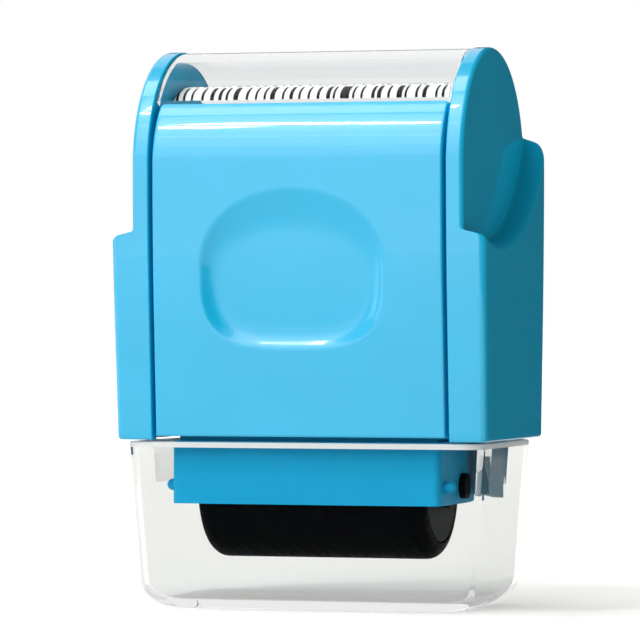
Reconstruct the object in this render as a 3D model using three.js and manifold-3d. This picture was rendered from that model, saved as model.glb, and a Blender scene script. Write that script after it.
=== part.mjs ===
// Privacy roller stamp, standing on its clear cap.
// X runs across the stamp, the front faces -Y and Z is up. The origin is under the middle of the cap.
// All lengths are in millimetres.
import * as THREE from 'three';
import { mergeVertices } from 'three/addons/utils/BufferGeometryUtils.js';
import Module from 'manifold-3d';

const wasm = await Module();
wasm.setup();

// Clearances between pieces, and how far a cutting solid runs past what it cuts
const fitGap = 0.3;
const runningGap = 0.06;
const grooveGap = 0.6;
const overrun = 2;

// Rollers: the printed band's width and the radii set the size of everything round them
const printRollerLength = 38;
const printRollerRadius = 11.8;
const rubberThickness = 2.5;
const rubberEndRound = 2.4;
const printAxleRadius = 2.05;
const printAxleReach = 1.1;
const washerRadius = 3.6;
const washerThickness = 1.2;
const washerGap = 0.2;
const inkRollerRadius = 8;
const inkRollerInset = 0.4;
const feltThickness = 3.1;
const inkAxleRadius = 1.5;
const rollerContactGap = 0.15;
const rollerSideGap = 0.4;

// Yoke: a wide skirt below and a narrower box above
const yokeWall = 1;
const yokeEndWall = 1.6;
const yokeCornerRadius = 1.2;
const yokeSkirtDrop = 2.8;
const yokeBoxSideInset = 0.8;
const yokeBoxFrontInset = 1.8;
const yokeHeadroom = 2.25;
const pipRadius = 0.95;
const pipReach = 1.8;
const pipSetback = 3.2;
const pipRise = 0.1;

// Inside the cartridge
const lidThickness = 1.4;
const fillHoleRadius = 3;
const blockWidth = 5;
const blockHeight = 5;
const springOuterRadius = 1.1;
const springInnerRadius = 0.7;
const lidBossRadius = 2.1;
const lidBossHeight = 6;
const lidScrewLength = 5.5;
const screwRadius = 0.9;
const screwHeadRadius = 1.9;
const screwHeadHeight = 1.2;

// Chassis sleeve and guide legs
const sleeveSideGap = 1.4;
const sleeveSideWall = 1.6;
const sleeveWall = 1.2;
const sleeveRise = 1.3;
const deckThickness = 1.5;
const deckGap = 1.3;
const legFrontSetback = 3.9;
const legRise = 0.5;
const legSlope = 0.9;

// Detent springs between the sleeve and the cartridge
const detentThickness = 0.4;
const detentWidth = 6;
const detentLength = 10;
const detentBend = 1.2;
const detentCrestRise = 3;
const detentDrop = 2.5;
const rivetRadius = 0.8;
const rivetHeadRadius = 1.4;
const rivetHeadHeight = 0.5;
const rivetDrop = 2;

// Housing shape: the lower part tapers down to the cap
const housingShoulderGap = 0.15;
const coverSpace = 6.1;
const frontLean = 2;
const backLean = 0.8;
const sideLean = 0.3;
const leanTopDrop = 12;

// Cheeks: round ears above, proud flanks with a finger scoop below
const earGap = 0.9;
const earThickness = 2.8;
const flankProud = 3.6;
const flankWall = 2;
const flankCornerRadius = 1.2;
const flankPocketDrop = 2.1;
const scoopRadius = 29.5;
const scoopDrop = 12.4;
const scoopSetback = 8.6;
const scoopFillet = 0.8;
const scoopFlare = 0.5;
const ledgeReach = 2;
const ledgeThickness = 0.8;
const bossRadius = 2.6;
const bossSetback = 3.9;
const bossDrop = 8;

// Covers and the thumb recess in the front one
const coverThickness = 1.6;
const coverBottomRise = 0.6;
const coverTopRise = 10.1;
const coverTopRadius = 13.5;
const recessWidth = 30;
const recessHeight = 25.5;
const recessDrop = 2.5;
const recessTopCorner = 11;
const recessBottomCorner = 7;
const recessDepth = 2.2;
const recessRound = 2.6;
const lugWidth = 5;
const lugHeight = 2;
const lugSpacing = 24;
const frontLugRise = 7.8;
const rearLugRise = 22.8;

// Window, strip and the saddle that carries the strip
const windowInset = 0.2;
const windowThickness = 1.4;
const stripRoom = 4.4;
const saddleLegHeight = 15;
const saddleThickness = 1.4;
const stripThickness = 0.25;
const stripGap = 0.1;
const stripDrop = 4;

// Cap
const rollerFloorGap = 6.4;
const rollerSetForward = 0.9;
const capRimInset = 1.2;
const capFrontSetback = 0.5;
const capBackSetback = 1.6;
const capSideLean = 1.8;
const capFrontLean = 1.6;
const capBackLean = 1.2;
const capWall = 1.2;
const capFloor = 1.6;
const capCornerRadius = 3;
const capBottomRound = 4.5;
const tongueWidth = 10;
const tongueThickness = 1.3;
const tongueRise = 6.1;
const tongueRoot = 6.9;

// Counts of sides and steps
const archSteps = 24;
const cornerSteps = 5;
const scoopSides = 72;
const rollerSides = 40;
const axleSides = 20;
const smallSides = 12;
const roundSteps = 3;
const capRoundSteps = 5;

// Places of the rollers, from the cap's floor up
const axisY = -rollerSetForward;
const printRollerZ = capFloor + rollerFloorGap + printRollerRadius;
const inkRollerZ = printRollerZ + printRollerRadius + inkRollerRadius + rollerContactGap;
const inkRollerLength = printRollerLength - 2 * inkRollerInset;

// The yoke goes round the rollers; its shoulder lies where the pattern roller clears the box's wall
const yokeWidth = printRollerLength + 2 * (fitGap + washerThickness + washerGap + yokeEndWall);
const yokeDepth = 2 * (printRollerRadius + rollerSideGap + yokeWall);
const yokeBoxWidth = yokeWidth - 2 * yokeBoxSideInset;
const yokeBoxDepth = yokeDepth - 2 * yokeBoxFrontInset;
const yokeBottomZ = printRollerZ - yokeSkirtDrop;
const shoulderHalfDepth = yokeBoxDepth / 2 - yokeWall - rollerSideGap;
const shoulderRise = Math.sqrt(printRollerRadius ** 2 - shoulderHalfDepth ** 2);
const yokeShoulderZ = printRollerZ + shoulderRise + yokeWall;
const yokeTopZ = inkRollerZ + inkRollerRadius + yokeHeadroom;
const pipZ = printRollerZ + pipRise;
const printAxleLength = yokeWidth + 2 * printAxleReach;

// The sleeve goes round the yoke, and the housing round the sleeve
const sleeveInnerX = yokeWidth / 2 + sleeveSideGap;
const sleeveOuterX = sleeveInnerX + sleeveSideWall;
const sleeveInnerHalfDepth = yokeBoxDepth / 2 + fitGap;
const sleeveOuterHalfDepth = sleeveInnerHalfDepth + sleeveWall;
const lidTopZ = yokeTopZ + fitGap + lidThickness;
const deckTopZ = lidTopZ + fitGap + screwHeadHeight + deckGap + deckThickness;
const housingBottomZ = yokeShoulderZ + housingShoulderGap;
const sleeveBottomZ = housingBottomZ + sleeveRise;
const legFrontY = axisY + legFrontSetback;
const legBottomZ = yokeBottomZ + legRise;
const earInnerX = sleeveInnerX + earGap;
const earFaceX = earInnerX + earThickness;
const flankFaceX = earFaceX + flankProud;
const archRadius = sleeveOuterHalfDepth + coverSpace;
const archCentreZ = deckTopZ + saddleLegHeight;

// Overall sizes
const overallWidth = 2 * flankFaceX;
const overallDepth = 2 * archRadius;
const overallHeight = archCentreZ + archRadius;

// Heights on the housing, from its bottom, its deck and the middle of its round top
const leanTopZ = archCentreZ - leanTopDrop;
const scoopLowZ = archCentreZ - scoopDrop;
const scoopCentreY = -scoopSetback;
const flankPocketTopZ = scoopLowZ - flankPocketDrop;
const bossZ = deckTopZ - bossDrop;
const bossHalfSpacing = yokeBoxDepth / 2 - bossSetback;
const coverBottomZ = housingBottomZ + coverBottomRise;
const coverTopZ = archCentreZ + coverTopRise;
const coverHalfWidth = earInnerX - grooveGap;
const recessTopZ = archCentreZ - recessDrop;
const recessBottomZ = recessTopZ - recessHeight;
const frontLugZ = housingBottomZ + frontLugRise;
const rearLugZ = housingBottomZ + rearLugRise;
const saddleRadius = archRadius - windowInset - windowThickness - stripRoom;
const detentTopZ = deckTopZ - detentDrop;
const detentBottomZ = detentTopZ - detentLength;
const detentCrestZ = detentBottomZ + detentCrestRise;
const rivetZ = detentTopZ - rivetDrop;
const screwHoleRadius = screwRadius + fitGap;
const capRimZ = housingBottomZ - fitGap;
const tongueTopZ = capRimZ + tongueRise;
const tongueBottomZ = capRimZ - tongueRoot;

// Materials
function material(color, roughness, metalness = 0, opacity = 1) {
  const transparent = opacity < 1;
  return new THREE.MeshStandardMaterial({ color, roughness, metalness, opacity, transparent });
}
const blueMoulding = material('#6bcbf3', 0.25);
const darkBlueMoulding = material('#2f9fca', 0.35);
const clearPlastic = material('#eef2f5', 0.05, 0, 0.3);
const whitePlastic = material('#e9ebec', 0.5);
const printedPaper = material('#f7f7f5', 0.8);
const blackRubber = material('#0b0d10', 0.6);
const darkPlastic = material('#22262b', 0.45);
const inkFelt = material('#15181c', 0.95);
const steel = material('#b9bdc2', 0.3, 1);

// From a three.js geometry to a solid that can be cut and joined, and back
function solidOf(geometry) {
  const bare = geometry.clone();
  bare.deleteAttribute('normal');
  bare.deleteAttribute('uv');
  const welded = mergeVertices(bare);
  const vertProperties = new Float32Array(welded.attributes.position.array);
  const triVerts = new Uint32Array(welded.index.array);
  return new wasm.Manifold(new wasm.Mesh({ numProp: 3, vertProperties, triVerts }));
}

function geometryOf(solid) {
  const mesh = solid.getMesh();
  const geometry = new THREE.BufferGeometry();
  geometry.setAttribute('position', new THREE.BufferAttribute(mesh.vertProperties, mesh.numProp));
  geometry.setIndex(new THREE.BufferAttribute(mesh.triVerts, 1));
  return geometry;
}

// The same geometry on the other side of the stamp
function mirroredX(geometry) {
  const mirrored = geometry.clone();
  mirrored.scale(-1, 1, 1);
  const index = mirrored.index.array;
  for (let i = 0; i < index.length; i += 3) {
    const first = index[i];
    index[i] = index[i + 1];
    index[i + 1] = first;
  }
  return mirrored;
}

// A box between two corners
function boxSolid(x0, x1, y0, y1, z0, z1) {
  const geometry = new THREE.BoxGeometry(x1 - x0, y1 - y0, z1 - z0);
  geometry.translate((x0 + x1) / 2, (y0 + y1) / 2, (z0 + z1) / 2);
  return solidOf(geometry);
}

// A rod along X
function rodX(radius, x0, x1, y, z, sides) {
  const geometry = new THREE.CylinderGeometry(radius, radius, x1 - x0, sides);
  geometry.rotateZ(Math.PI / 2);
  geometry.translate((x0 + x1) / 2, y, z);
  return solidOf(geometry);
}

// A rod along Z
function rodZ(radius, z0, z1, x, y, sides) {
  const geometry = new THREE.CylinderGeometry(radius, radius, z1 - z0, sides);
  geometry.rotateX(Math.PI / 2);
  geometry.translate(x, y, (z0 + z1) / 2);
  return solidOf(geometry);
}

// A turned shape around an axis along X, from points of radius and X
function turnedX(points, y, z, sides) {
  const profile = points.map(([radius, x]) => new THREE.Vector2(radius, x));
  const geometry = new THREE.LatheGeometry(profile, sides);
  geometry.rotateZ(-Math.PI / 2);
  geometry.translate(0, y, z);
  return solidOf(geometry);
}

// An outline drawn in Y and Z, extruded along X
const alongX = new THREE.Matrix4().makeBasis(
  new THREE.Vector3(0, 1, 0),
  new THREE.Vector3(0, 0, 1),
  new THREE.Vector3(1, 0, 0),
);
function prismX(shape, x0, x1) {
  const settings = { depth: x1 - x0, bevelEnabled: false, curveSegments: archSteps };
  const geometry = new THREE.ExtrudeGeometry(shape, settings);
  geometry.applyMatrix4(alongX);
  geometry.translate(x0, 0, 0);
  return solidOf(geometry);
}

// A closed skin through a stack of rings, each with the same number of points, lowest ring first
function loft(rings) {
  const count = rings[0].length;
  const positions = rings.flat().flatMap((point) => [point.x, point.y, point.z]);
  const index = [];
  for (let level = 0; level < rings.length - 1; level += 1) {
    for (let i = 0; i < count; i += 1) {
      const next = (i + 1) % count;
      const a = level * count + i;
      const b = level * count + next;
      const c = a + count;
      const d = b + count;
      index.push(a, b, d, a, d, c);
    }
  }
  const top = (rings.length - 1) * count;
  for (let i = 1; i < count - 1; i += 1) {
    index.push(0, i + 1, i);
    index.push(top, top + i, top + i + 1);
  }
  const geometry = new THREE.BufferGeometry();
  geometry.setAttribute('position', new THREE.Float32BufferAttribute(positions, 3));
  geometry.setIndex(index);
  return solidOf(geometry);
}

// A rectangle with round corners at one height, drawn counter-clockwise
function roundedRing(z, left, right, front, back, radius) {
  const corners = [
    [right - radius, back - radius, 0],
    [left + radius, back - radius, Math.PI / 2],
    [left + radius, front + radius, Math.PI],
    [right - radius, front + radius, 1.5 * Math.PI],
  ];
  const ring = [];
  for (const [x, y, start] of corners) {
    for (let step = 0; step <= cornerSteps; step += 1) {
      const angle = start + (step / cornerSteps) * (Math.PI / 2);
      ring.push(new THREE.Vector3(x + radius * Math.cos(angle), y + radius * Math.sin(angle), z));
    }
  }
  return ring;
}

// How far the tapering lower part has gone: 1 at the housing's bottom, 0 where it runs straight
function leanShare(z) {
  return THREE.MathUtils.clamp((leanTopZ - z) / (leanTopZ - housingBottomZ), 0, 1);
}
function frontY(z) {
  return frontLean * leanShare(z) - archRadius;
}
function backY(z) {
  return archRadius - backLean * leanShare(z);
}
function flankX(z) {
  return flankFaceX - sideLean * leanShare(z);
}

// The housing seen from the side: tapering foot, straight middle and round top.
// With a smaller top radius the round top starts tighter, so the outline sinks below the ears' rims.
function sideOutline(inset, bottomZ, topRadius = archRadius) {
  const shape = new THREE.Shape();
  const reach = archRadius - topRadius;
  shape.moveTo(frontY(bottomZ) + inset, bottomZ);
  shape.lineTo(frontY(leanTopZ) + inset, leanTopZ);
  shape.lineTo(frontY(leanTopZ) + inset, archCentreZ);
  shape.absarc(-reach, archCentreZ, topRadius - inset, Math.PI, Math.PI / 2, true);
  shape.absarc(reach, archCentreZ, topRadius - inset, Math.PI / 2, 0, true);
  shape.lineTo(backY(leanTopZ) - inset, leanTopZ);
  shape.lineTo(backY(bottomZ) - inset, bottomZ);
  shape.closePath();
  return shape;
}

// The skin between two insets of the side outline
function sideSkin(outerInset, thickness, x0, x1, bottomZ, topRadius = archRadius) {
  const outer = prismX(sideOutline(outerInset, bottomZ, topRadius), x0, x1);
  const innerShape = sideOutline(outerInset + thickness, bottomZ - overrun, topRadius);
  return outer.subtract(prismX(innerShape, x0 - overrun, x1 + overrun));
}

// Everything in front of the middle, between two heights
function frontRegion(z0, z1) {
  return boxSolid(-overallWidth, overallWidth, -overallDepth, 0, z0, z1);
}
function backRegion(z0, z1) {
  return boxSolid(-overallWidth, overallWidth, 0, overallDepth, z0, z1);
}

// Cheeks
function flankBlock(inset, bottomZ, topZ) {
  const levels = [bottomZ, leanTopZ, topZ].filter((z) => z <= topZ);
  const radius = flankCornerRadius;
  const rings = levels.map((z) => {
    const halfWidth = flankX(z) - inset;
    return roundedRing(z, -halfWidth, halfWidth, frontY(z) + inset, backY(z) - inset, radius);
  });
  return loft(rings);
}

function fingerScoop() {
  const points = [[0, earFaceX], [scoopRadius - scoopFillet, earFaceX]];
  for (let step = 1; step <= roundSteps; step += 1) {
    const angle = (step / roundSteps) * (Math.PI / 2);
    const radius = scoopRadius - scoopFillet + scoopFillet * Math.sin(angle);
    points.push([radius, earFaceX + scoopFillet - scoopFillet * Math.cos(angle)]);
  }
  const mouthX = flankFaceX + overrun;
  const mouthShare = (mouthX - earFaceX - scoopFillet) / (flankFaceX - earFaceX - scoopFillet);
  points.push([scoopRadius + scoopFlare * mouthShare, mouthX], [0, mouthX]);
  return turnedX(points, scoopCentreY, scoopLowZ + scoopRadius, scoopSides);
}

function cheekPocket() {
  const bottomZ = housingBottomZ - overrun;
  const hollow = flankBlock(flankWall, bottomZ, flankPocketTopZ);
  const rightHalf = boxSolid(0, overallWidth, -overallDepth, overallDepth, bottomZ, overallHeight);
  return hollow.intersect(rightHalf);
}

// The thin ledge behind the covers' edges
function coverLedge() {
  const inset = coverThickness + fitGap;
  const skin = sideSkin(
    inset, ledgeThickness, earInnerX - ledgeReach, earFaceX, coverBottomZ, coverTopRadius,
  );
  const behindCovers = boxSolid(
    0, overallWidth, -overallDepth, overallDepth, 0, coverTopZ - fitGap,
  );
  return skin.intersect(behindCovers);
}

function rightCheek() {
  const flankTopZ = scoopLowZ + scoopRadius;
  const rightSide = boxSolid(earInnerX, overallWidth, -overallDepth, overallDepth, 0, overallHeight);
  const ear = prismX(sideOutline(0, housingBottomZ), earInnerX, earFaceX);
  let cheek = flankBlock(0, housingBottomZ, flankTopZ).intersect(rightSide);
  cheek = cheek.subtract(fingerScoop());
  cheek = cheek.intersect(prismX(sideOutline(0, housingBottomZ), 0, overallWidth));
  cheek = cheek.add(ear);
  cheek = cheek.subtract(cheekPocket());
  cheek = cheek.add(coverLedge());
  const bossInnerX = sleeveOuterX + fitGap;
  const bossEndX = flankX(bossZ) - flankWall / 2;
  for (const y of [axisY - bossHalfSpacing, axisY + bossHalfSpacing]) {
    const boss = rodX(bossRadius, bossInnerX, bossEndX, y, bossZ, smallSides);
    const hole = rodX(screwHoleRadius, 0, bossEndX - flankWall / 4, y, bossZ, smallSides);
    cheek = cheek.add(boss).subtract(hole);
  }
  return geometryOf(cheek);
}

// Covers
function coverSkin() {
  return sideSkin(0, coverThickness, -coverHalfWidth, coverHalfWidth, coverBottomZ, coverTopRadius);
}

function recessShape(grow) {
  const left = -recessWidth / 2 - grow;
  const right = recessWidth / 2 + grow;
  const bottom = recessBottomZ - grow;
  const top = recessTopZ + grow;
  const topCorner = recessTopCorner + grow;
  const bottomCorner = recessBottomCorner + grow;
  const shape = new THREE.Shape();
  shape.moveTo(left + bottomCorner, bottom);
  shape.absarc(right - bottomCorner, bottom + bottomCorner, bottomCorner, -Math.PI / 2, 0, false);
  shape.absarc(right - topCorner, top - topCorner, topCorner, 0, Math.PI / 2, false);
  shape.absarc(left + topCorner, top - topCorner, topCorner, Math.PI / 2, Math.PI, false);
  shape.absarc(left + bottomCorner, bottom + bottomCorner, bottomCorner, Math.PI, 1.5 * Math.PI, false);
  return shape;
}

// The hollow of the thumb recess, grown by the wall where it becomes the dish behind it
const alongMinusY = new THREE.Matrix4().makeBasis(
  new THREE.Vector3(1, 0, 0),
  new THREE.Vector3(0, 0, 1),
  new THREE.Vector3(0, -1, 0),
);
function recessHollow(grow) {
  const depth = recessDepth + grow;
  const settings = {
    depth: overrun,
    bevelThickness: depth,
    bevelSize: recessRound,
    bevelOffset: -recessRound,
    bevelSegments: roundSteps,
    curveSegments: cornerSteps + roundSteps,
  };
  const geometry = new THREE.ExtrudeGeometry(recessShape(grow), settings);
  geometry.applyMatrix4(alongMinusY);
  geometry.translate(0, -archRadius, 0);
  const position = geometry.attributes.position;
  for (let i = 0; i < position.count; i += 1) {
    const z = position.getZ(i);
    position.setY(i, position.getY(i) + frontY(z) + archRadius);
  }
  return solidOf(geometry);
}

function lugs(faceY, reachY, z) {
  const low = Math.min(faceY, reachY);
  const high = Math.max(faceY, reachY);
  return [-lugSpacing / 2, lugSpacing / 2].map((x) => (
    boxSolid(x - lugWidth / 2, x + lugWidth / 2, low, high, z - lugHeight / 2, z + lugHeight / 2)
  ));
}

function frontCover() {
  const outside = prismX(sideOutline(0, coverBottomZ), -coverHalfWidth, coverHalfWidth);
  let cover = coverSkin().intersect(frontRegion(0, coverTopZ));
  cover = cover.add(recessHollow(coverThickness).intersect(outside));
  cover = cover.subtract(recessHollow(0));
  const reachY = axisY - sleeveOuterHalfDepth - fitGap;
  for (const lug of lugs(frontY(frontLugZ) + coverThickness / 2, reachY, frontLugZ)) {
    cover = cover.add(lug);
  }
  return geometryOf(cover);
}

function rearCover() {
  let cover = coverSkin().intersect(backRegion(0, coverTopZ));
  const reachY = axisY + sleeveOuterHalfDepth + fitGap;
  for (const lug of lugs(backY(rearLugZ) - coverThickness / 2, reachY, rearLugZ)) {
    cover = cover.add(lug);
  }
  return geometryOf(cover);
}

function topWindow() {
  const halfWidth = earInnerX - fitGap;
  const skin = sideSkin(windowInset, windowThickness, -halfWidth, halfWidth, coverBottomZ);
  const above = boxSolid(
    -overallWidth, overallWidth, -overallDepth, overallDepth, coverTopZ + fitGap, overallHeight,
  );
  return geometryOf(skin.intersect(above));
}

// Saddle and strip: an arch with straight legs
function archOutline(radius, bottomZ) {
  const shape = new THREE.Shape();
  shape.moveTo(-radius, bottomZ);
  shape.lineTo(-radius, archCentreZ);
  shape.absarc(0, archCentreZ, radius, Math.PI, 0, true);
  shape.lineTo(radius, bottomZ);
  shape.closePath();
  return shape;
}

function arch(outerRadius, thickness, halfWidth, bottomZ) {
  const outer = prismX(archOutline(outerRadius, bottomZ), -halfWidth, halfWidth);
  const innerShape = archOutline(outerRadius - thickness, bottomZ - overrun);
  const inner = prismX(innerShape, -halfWidth - overrun, halfWidth + overrun);
  return outer.subtract(inner);
}

function patternSaddle() {
  return geometryOf(arch(saddleRadius, saddleThickness, earInnerX - fitGap, deckTopZ + fitGap));
}

function patternStrip() {
  const radius = saddleRadius + stripGap + stripThickness;
  return geometryOf(arch(radius, stripThickness, earInnerX - grooveGap, archCentreZ - stripDrop));
}

// Chassis: a sleeve round the cartridge, a deck over it and a guide leg at each end
function guideLeg(side) {
  const shape = new THREE.Shape();
  const rearY = axisY + sleeveOuterHalfDepth;
  shape.moveTo(legFrontY, legBottomZ + legSlope);
  shape.lineTo(legFrontY, sleeveBottomZ + overrun);
  shape.lineTo(rearY, sleeveBottomZ + overrun);
  shape.lineTo(rearY, legBottomZ);
  shape.closePath();
  const inner = side < 0 ? -sleeveOuterX : sleeveInnerX;
  return prismX(shape, inner, inner + sleeveSideWall);
}

function chassis() {
  const outerY = sleeveOuterHalfDepth;
  const innerY = sleeveInnerHalfDepth;
  let frame = boxSolid(
    -sleeveOuterX, sleeveOuterX, axisY - outerY, axisY + outerY, sleeveBottomZ, deckTopZ,
  );
  const bay = boxSolid(
    -sleeveInnerX, sleeveInnerX, axisY - innerY, axisY + innerY,
    sleeveBottomZ - overrun, deckTopZ - deckThickness,
  );
  frame = frame.subtract(bay).add(guideLeg(-1)).add(guideLeg(1));
  const through = sleeveOuterX + overrun;
  for (const y of [axisY - bossHalfSpacing, axisY + bossHalfSpacing]) {
    frame = frame.subtract(rodX(screwHoleRadius, -through, through, y, bossZ, smallSides));
  }
  const rivetHole = rodX(rivetRadius + fitGap, -through, through, axisY, rivetZ, smallSides);
  return geometryOf(frame.subtract(rivetHole));
}

// A screw along X whose head lies inside the sleeve
function chassisScrew(y) {
  const headX = sleeveInnerX - fitGap;
  const tipX = flankX(bossZ) - flankWall - fitGap;
  const points = [
    [0, headX - screwHeadHeight],
    [screwHeadRadius, headX - screwHeadHeight],
    [screwHeadRadius, headX],
    [screwRadius, headX],
    [screwRadius, tipX - screwRadius],
    [0, tipX],
  ];
  return geometryOf(turnedX(points, y, bossZ, smallSides));
}

// A bent steel leaf that leans on the cartridge's end
function detentSpring() {
  const flatX = sleeveInnerX - fitGap;
  const crestX = flatX - detentBend;
  const shape = new THREE.Shape();
  shape.moveTo(flatX, detentTopZ);
  shape.lineTo(flatX - detentThickness, detentTopZ);
  shape.lineTo(flatX - detentThickness, rivetZ - rivetHeadRadius);
  shape.lineTo(crestX - detentThickness, detentCrestZ);
  shape.lineTo(flatX - detentThickness, detentBottomZ);
  shape.lineTo(flatX, detentBottomZ);
  shape.lineTo(crestX, detentCrestZ);
  shape.lineTo(flatX, rivetZ - rivetHeadRadius);
  shape.closePath();
  const settings = { depth: detentWidth, bevelEnabled: false };
  const geometry = new THREE.ExtrudeGeometry(shape, settings);
  geometry.rotateX(Math.PI / 2);
  geometry.translate(0, axisY + detentWidth / 2, 0);
  const hole = rodX(rivetRadius + fitGap, 0, sleeveOuterX, axisY, rivetZ, smallSides);
  return geometryOf(solidOf(geometry).subtract(hole));
}

function detentRivet() {
  const headX = sleeveInnerX - detentThickness - fitGap - fitGap;
  const points = [
    [0, headX - rivetHeadHeight],
    [rivetHeadRadius, headX - rivetHeadHeight],
    [rivetHeadRadius, headX],
    [rivetRadius, headX],
    [rivetRadius, sleeveOuterX],
    [0, sleeveOuterX],
  ];
  return geometryOf(turnedX(points, axisY, rivetZ, smallSides));
}

// Yoke
function yokeShell() {
  const halfWidth = yokeWidth / 2;
  const halfDepth = yokeDepth / 2;
  const radius = yokeCornerRadius;
  const skirt = loft([yokeBottomZ, yokeShoulderZ].map((z) => (
    roundedRing(z, -halfWidth, halfWidth, axisY - halfDepth, axisY + halfDepth, radius)
  )));
  const boxX = yokeBoxWidth / 2;
  const boxY = yokeBoxDepth / 2;
  const upper = boxSolid(-boxX, boxX, axisY - boxY, axisY + boxY, yokeShoulderZ - yokeWall, yokeTopZ);
  return skirt.add(upper);
}

function yokeHollow() {
  const skirtX = yokeWidth / 2 - yokeEndWall;
  const skirtY = yokeDepth / 2 - yokeWall;
  const boxX = yokeBoxWidth / 2 - yokeEndWall;
  const boxY = yokeBoxDepth / 2 - yokeWall;
  const skirt = boxSolid(
    -skirtX, skirtX, axisY - skirtY, axisY + skirtY, yokeBottomZ - overrun, yokeShoulderZ - yokeWall,
  );
  const upper = boxSolid(-boxX, boxX, axisY - boxY, axisY + boxY, yokeBottomZ, yokeTopZ + overrun);
  return skirt.add(upper);
}

// A small domed pip on the yoke's end, near its front
function yokePip() {
  const rootX = yokeWidth / 2 - yokeEndWall / 2;
  const domeX = yokeWidth / 2 + pipReach - pipRadius;
  const points = [[0, rootX], [pipRadius, rootX]];
  for (let step = 0; step < roundSteps; step += 1) {
    const angle = (step / roundSteps) * (Math.PI / 2);
    points.push([pipRadius * Math.cos(angle), domeX + pipRadius * Math.sin(angle)]);
  }
  points.push([0, domeX + pipRadius]);
  return turnedX(points, axisY - yokeDepth / 2 + pipSetback, pipZ, smallSides);
}

function lidBossY() {
  return yokeBoxDepth / 2 - yokeWall - lidBossRadius / 2;
}

function yoke() {
  let body = yokeShell().subtract(yokeHollow());
  const pip = yokePip();
  body = body.add(pip).add(solidOf(mirroredX(geometryOf(pip))));
  const through = yokeWidth / 2 + overrun;
  const bore = rodX(printAxleRadius + runningGap, -through, through, axisY, printRollerZ, axleSides);
  body = body.subtract(bore);
  const slotHalf = blockWidth / 2 + fitGap;
  const slotBottomZ = inkRollerZ - blockHeight / 2 - fitGap;
  body = body.subtract(boxSolid(
    -through, through, axisY - slotHalf, axisY + slotHalf, slotBottomZ, yokeTopZ + overrun,
  ));
  for (const side of [-1, 1]) {
    const y = axisY + side * lidBossY();
    const boss = rodZ(lidBossRadius, yokeTopZ - lidBossHeight, yokeTopZ, 0, y, smallSides);
    const fill = boxSolid(
      -lidBossRadius, lidBossRadius, Math.min(y, axisY + side * yokeBoxDepth / 2),
      Math.max(y, axisY + side * yokeBoxDepth / 2), yokeTopZ - lidBossHeight, yokeTopZ,
    );
    const holeBottomZ = yokeTopZ - lidBossHeight - overrun;
    const hole = rodZ(screwHoleRadius, holeBottomZ, yokeTopZ + overrun, 0, y, smallSides);
    body = body.add(boss).add(fill).subtract(hole);
  }
  return geometryOf(body);
}

function cartridgeLid() {
  const x = yokeBoxWidth / 2;
  const y = yokeBoxDepth / 2;
  let lid = boxSolid(-x, x, axisY - y, axisY + y, lidTopZ - lidThickness, lidTopZ);
  const cutBottom = lidTopZ - lidThickness - overrun;
  const cutTop = lidTopZ + overrun;
  lid = lid.subtract(rodZ(fillHoleRadius, cutBottom, cutTop, 0, axisY, axleSides));
  for (const side of [-1, 1]) {
    const holeY = axisY + side * lidBossY();
    lid = lid.subtract(rodZ(screwHoleRadius, cutBottom, cutTop, 0, holeY, smallSides));
  }
  return geometryOf(lid);
}

function lidScrew(side) {
  const seatZ = lidTopZ + fitGap;
  const y = axisY + side * lidBossY();
  const head = rodZ(screwHeadRadius, seatZ, seatZ + screwHeadHeight, 0, y, smallSides);
  const shank = rodZ(screwRadius, seatZ - lidScrewLength, seatZ + screwHeadHeight / 2, 0, y, smallSides);
  return geometryOf(head.add(shank));
}

function inkBlock(side) {
  const outerX = yokeBoxWidth / 2;
  const innerX = outerX - yokeEndWall;
  const half = blockWidth / 2;
  const x0 = side < 0 ? -outerX : innerX;
  const bottomZ = inkRollerZ - blockHeight / 2;
  let block = boxSolid(
    x0, x0 + yokeEndWall, axisY - half, axisY + half, bottomZ, bottomZ + blockHeight,
  );
  const through = outerX + overrun;
  block = block.subtract(rodX(inkAxleRadius + runningGap, -through, through, axisY, inkRollerZ, axleSides));
  return geometryOf(block);
}

// The spring over each block, drawn as a plain sleeve, because nobody sees it
function inkSpring(side) {
  const x = side * (yokeBoxWidth / 2 - springOuterRadius);
  const bottom = inkRollerZ + blockHeight / 2 + fitGap;
  const outer = rodZ(springOuterRadius, bottom, yokeTopZ, x, axisY, smallSides);
  const inner = rodZ(springInnerRadius, bottom - overrun, yokeTopZ + overrun, x, axisY, smallSides);
  return geometryOf(outer.subtract(inner));
}

// Rollers
function tubeX(outerRadius, innerRadius, halfLength, z, sides) {
  const points = [
    [innerRadius, -halfLength],
    [outerRadius, -halfLength],
    [outerRadius, halfLength],
    [innerRadius, halfLength],
    [innerRadius, -halfLength],
  ];
  return turnedX(points, axisY, z, sides);
}

function rubberSleeve() {
  const half = printRollerLength / 2;
  const inner = printRollerRadius - rubberThickness;
  const round = Math.min(rubberEndRound, rubberThickness);
  const points = [[inner, -half]];
  for (const side of [-1, 1]) {
    for (let step = 0; step <= roundSteps; step += 1) {
      const share = side < 0 ? step / roundSteps : 1 - step / roundSteps;
      const angle = share * (Math.PI / 2);
      const radius = printRollerRadius - round + round * Math.sin(angle);
      points.push([radius, side * (half - round + round * Math.cos(angle))]);
    }
  }
  points.push([inner, half], [inner, -half]);
  return geometryOf(turnedX(points, axisY, printRollerZ, rollerSides));
}

function printRollerCore() {
  const outer = printRollerRadius - rubberThickness - fitGap;
  const inner = printAxleRadius + fitGap;
  return geometryOf(tubeX(outer, inner, printRollerLength / 2, printRollerZ, rollerSides));
}

function thrustWasher(side) {
  const x = side * (printRollerLength / 2 + fitGap + washerThickness / 2);
  const outer = rodX(
    washerRadius, x - washerThickness / 2, x + washerThickness / 2, axisY, printRollerZ, axleSides,
  );
  const hole = rodX(printAxleRadius + fitGap, x - overrun, x + overrun, axisY, printRollerZ, axleSides);
  return geometryOf(outer.subtract(hole));
}

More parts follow.
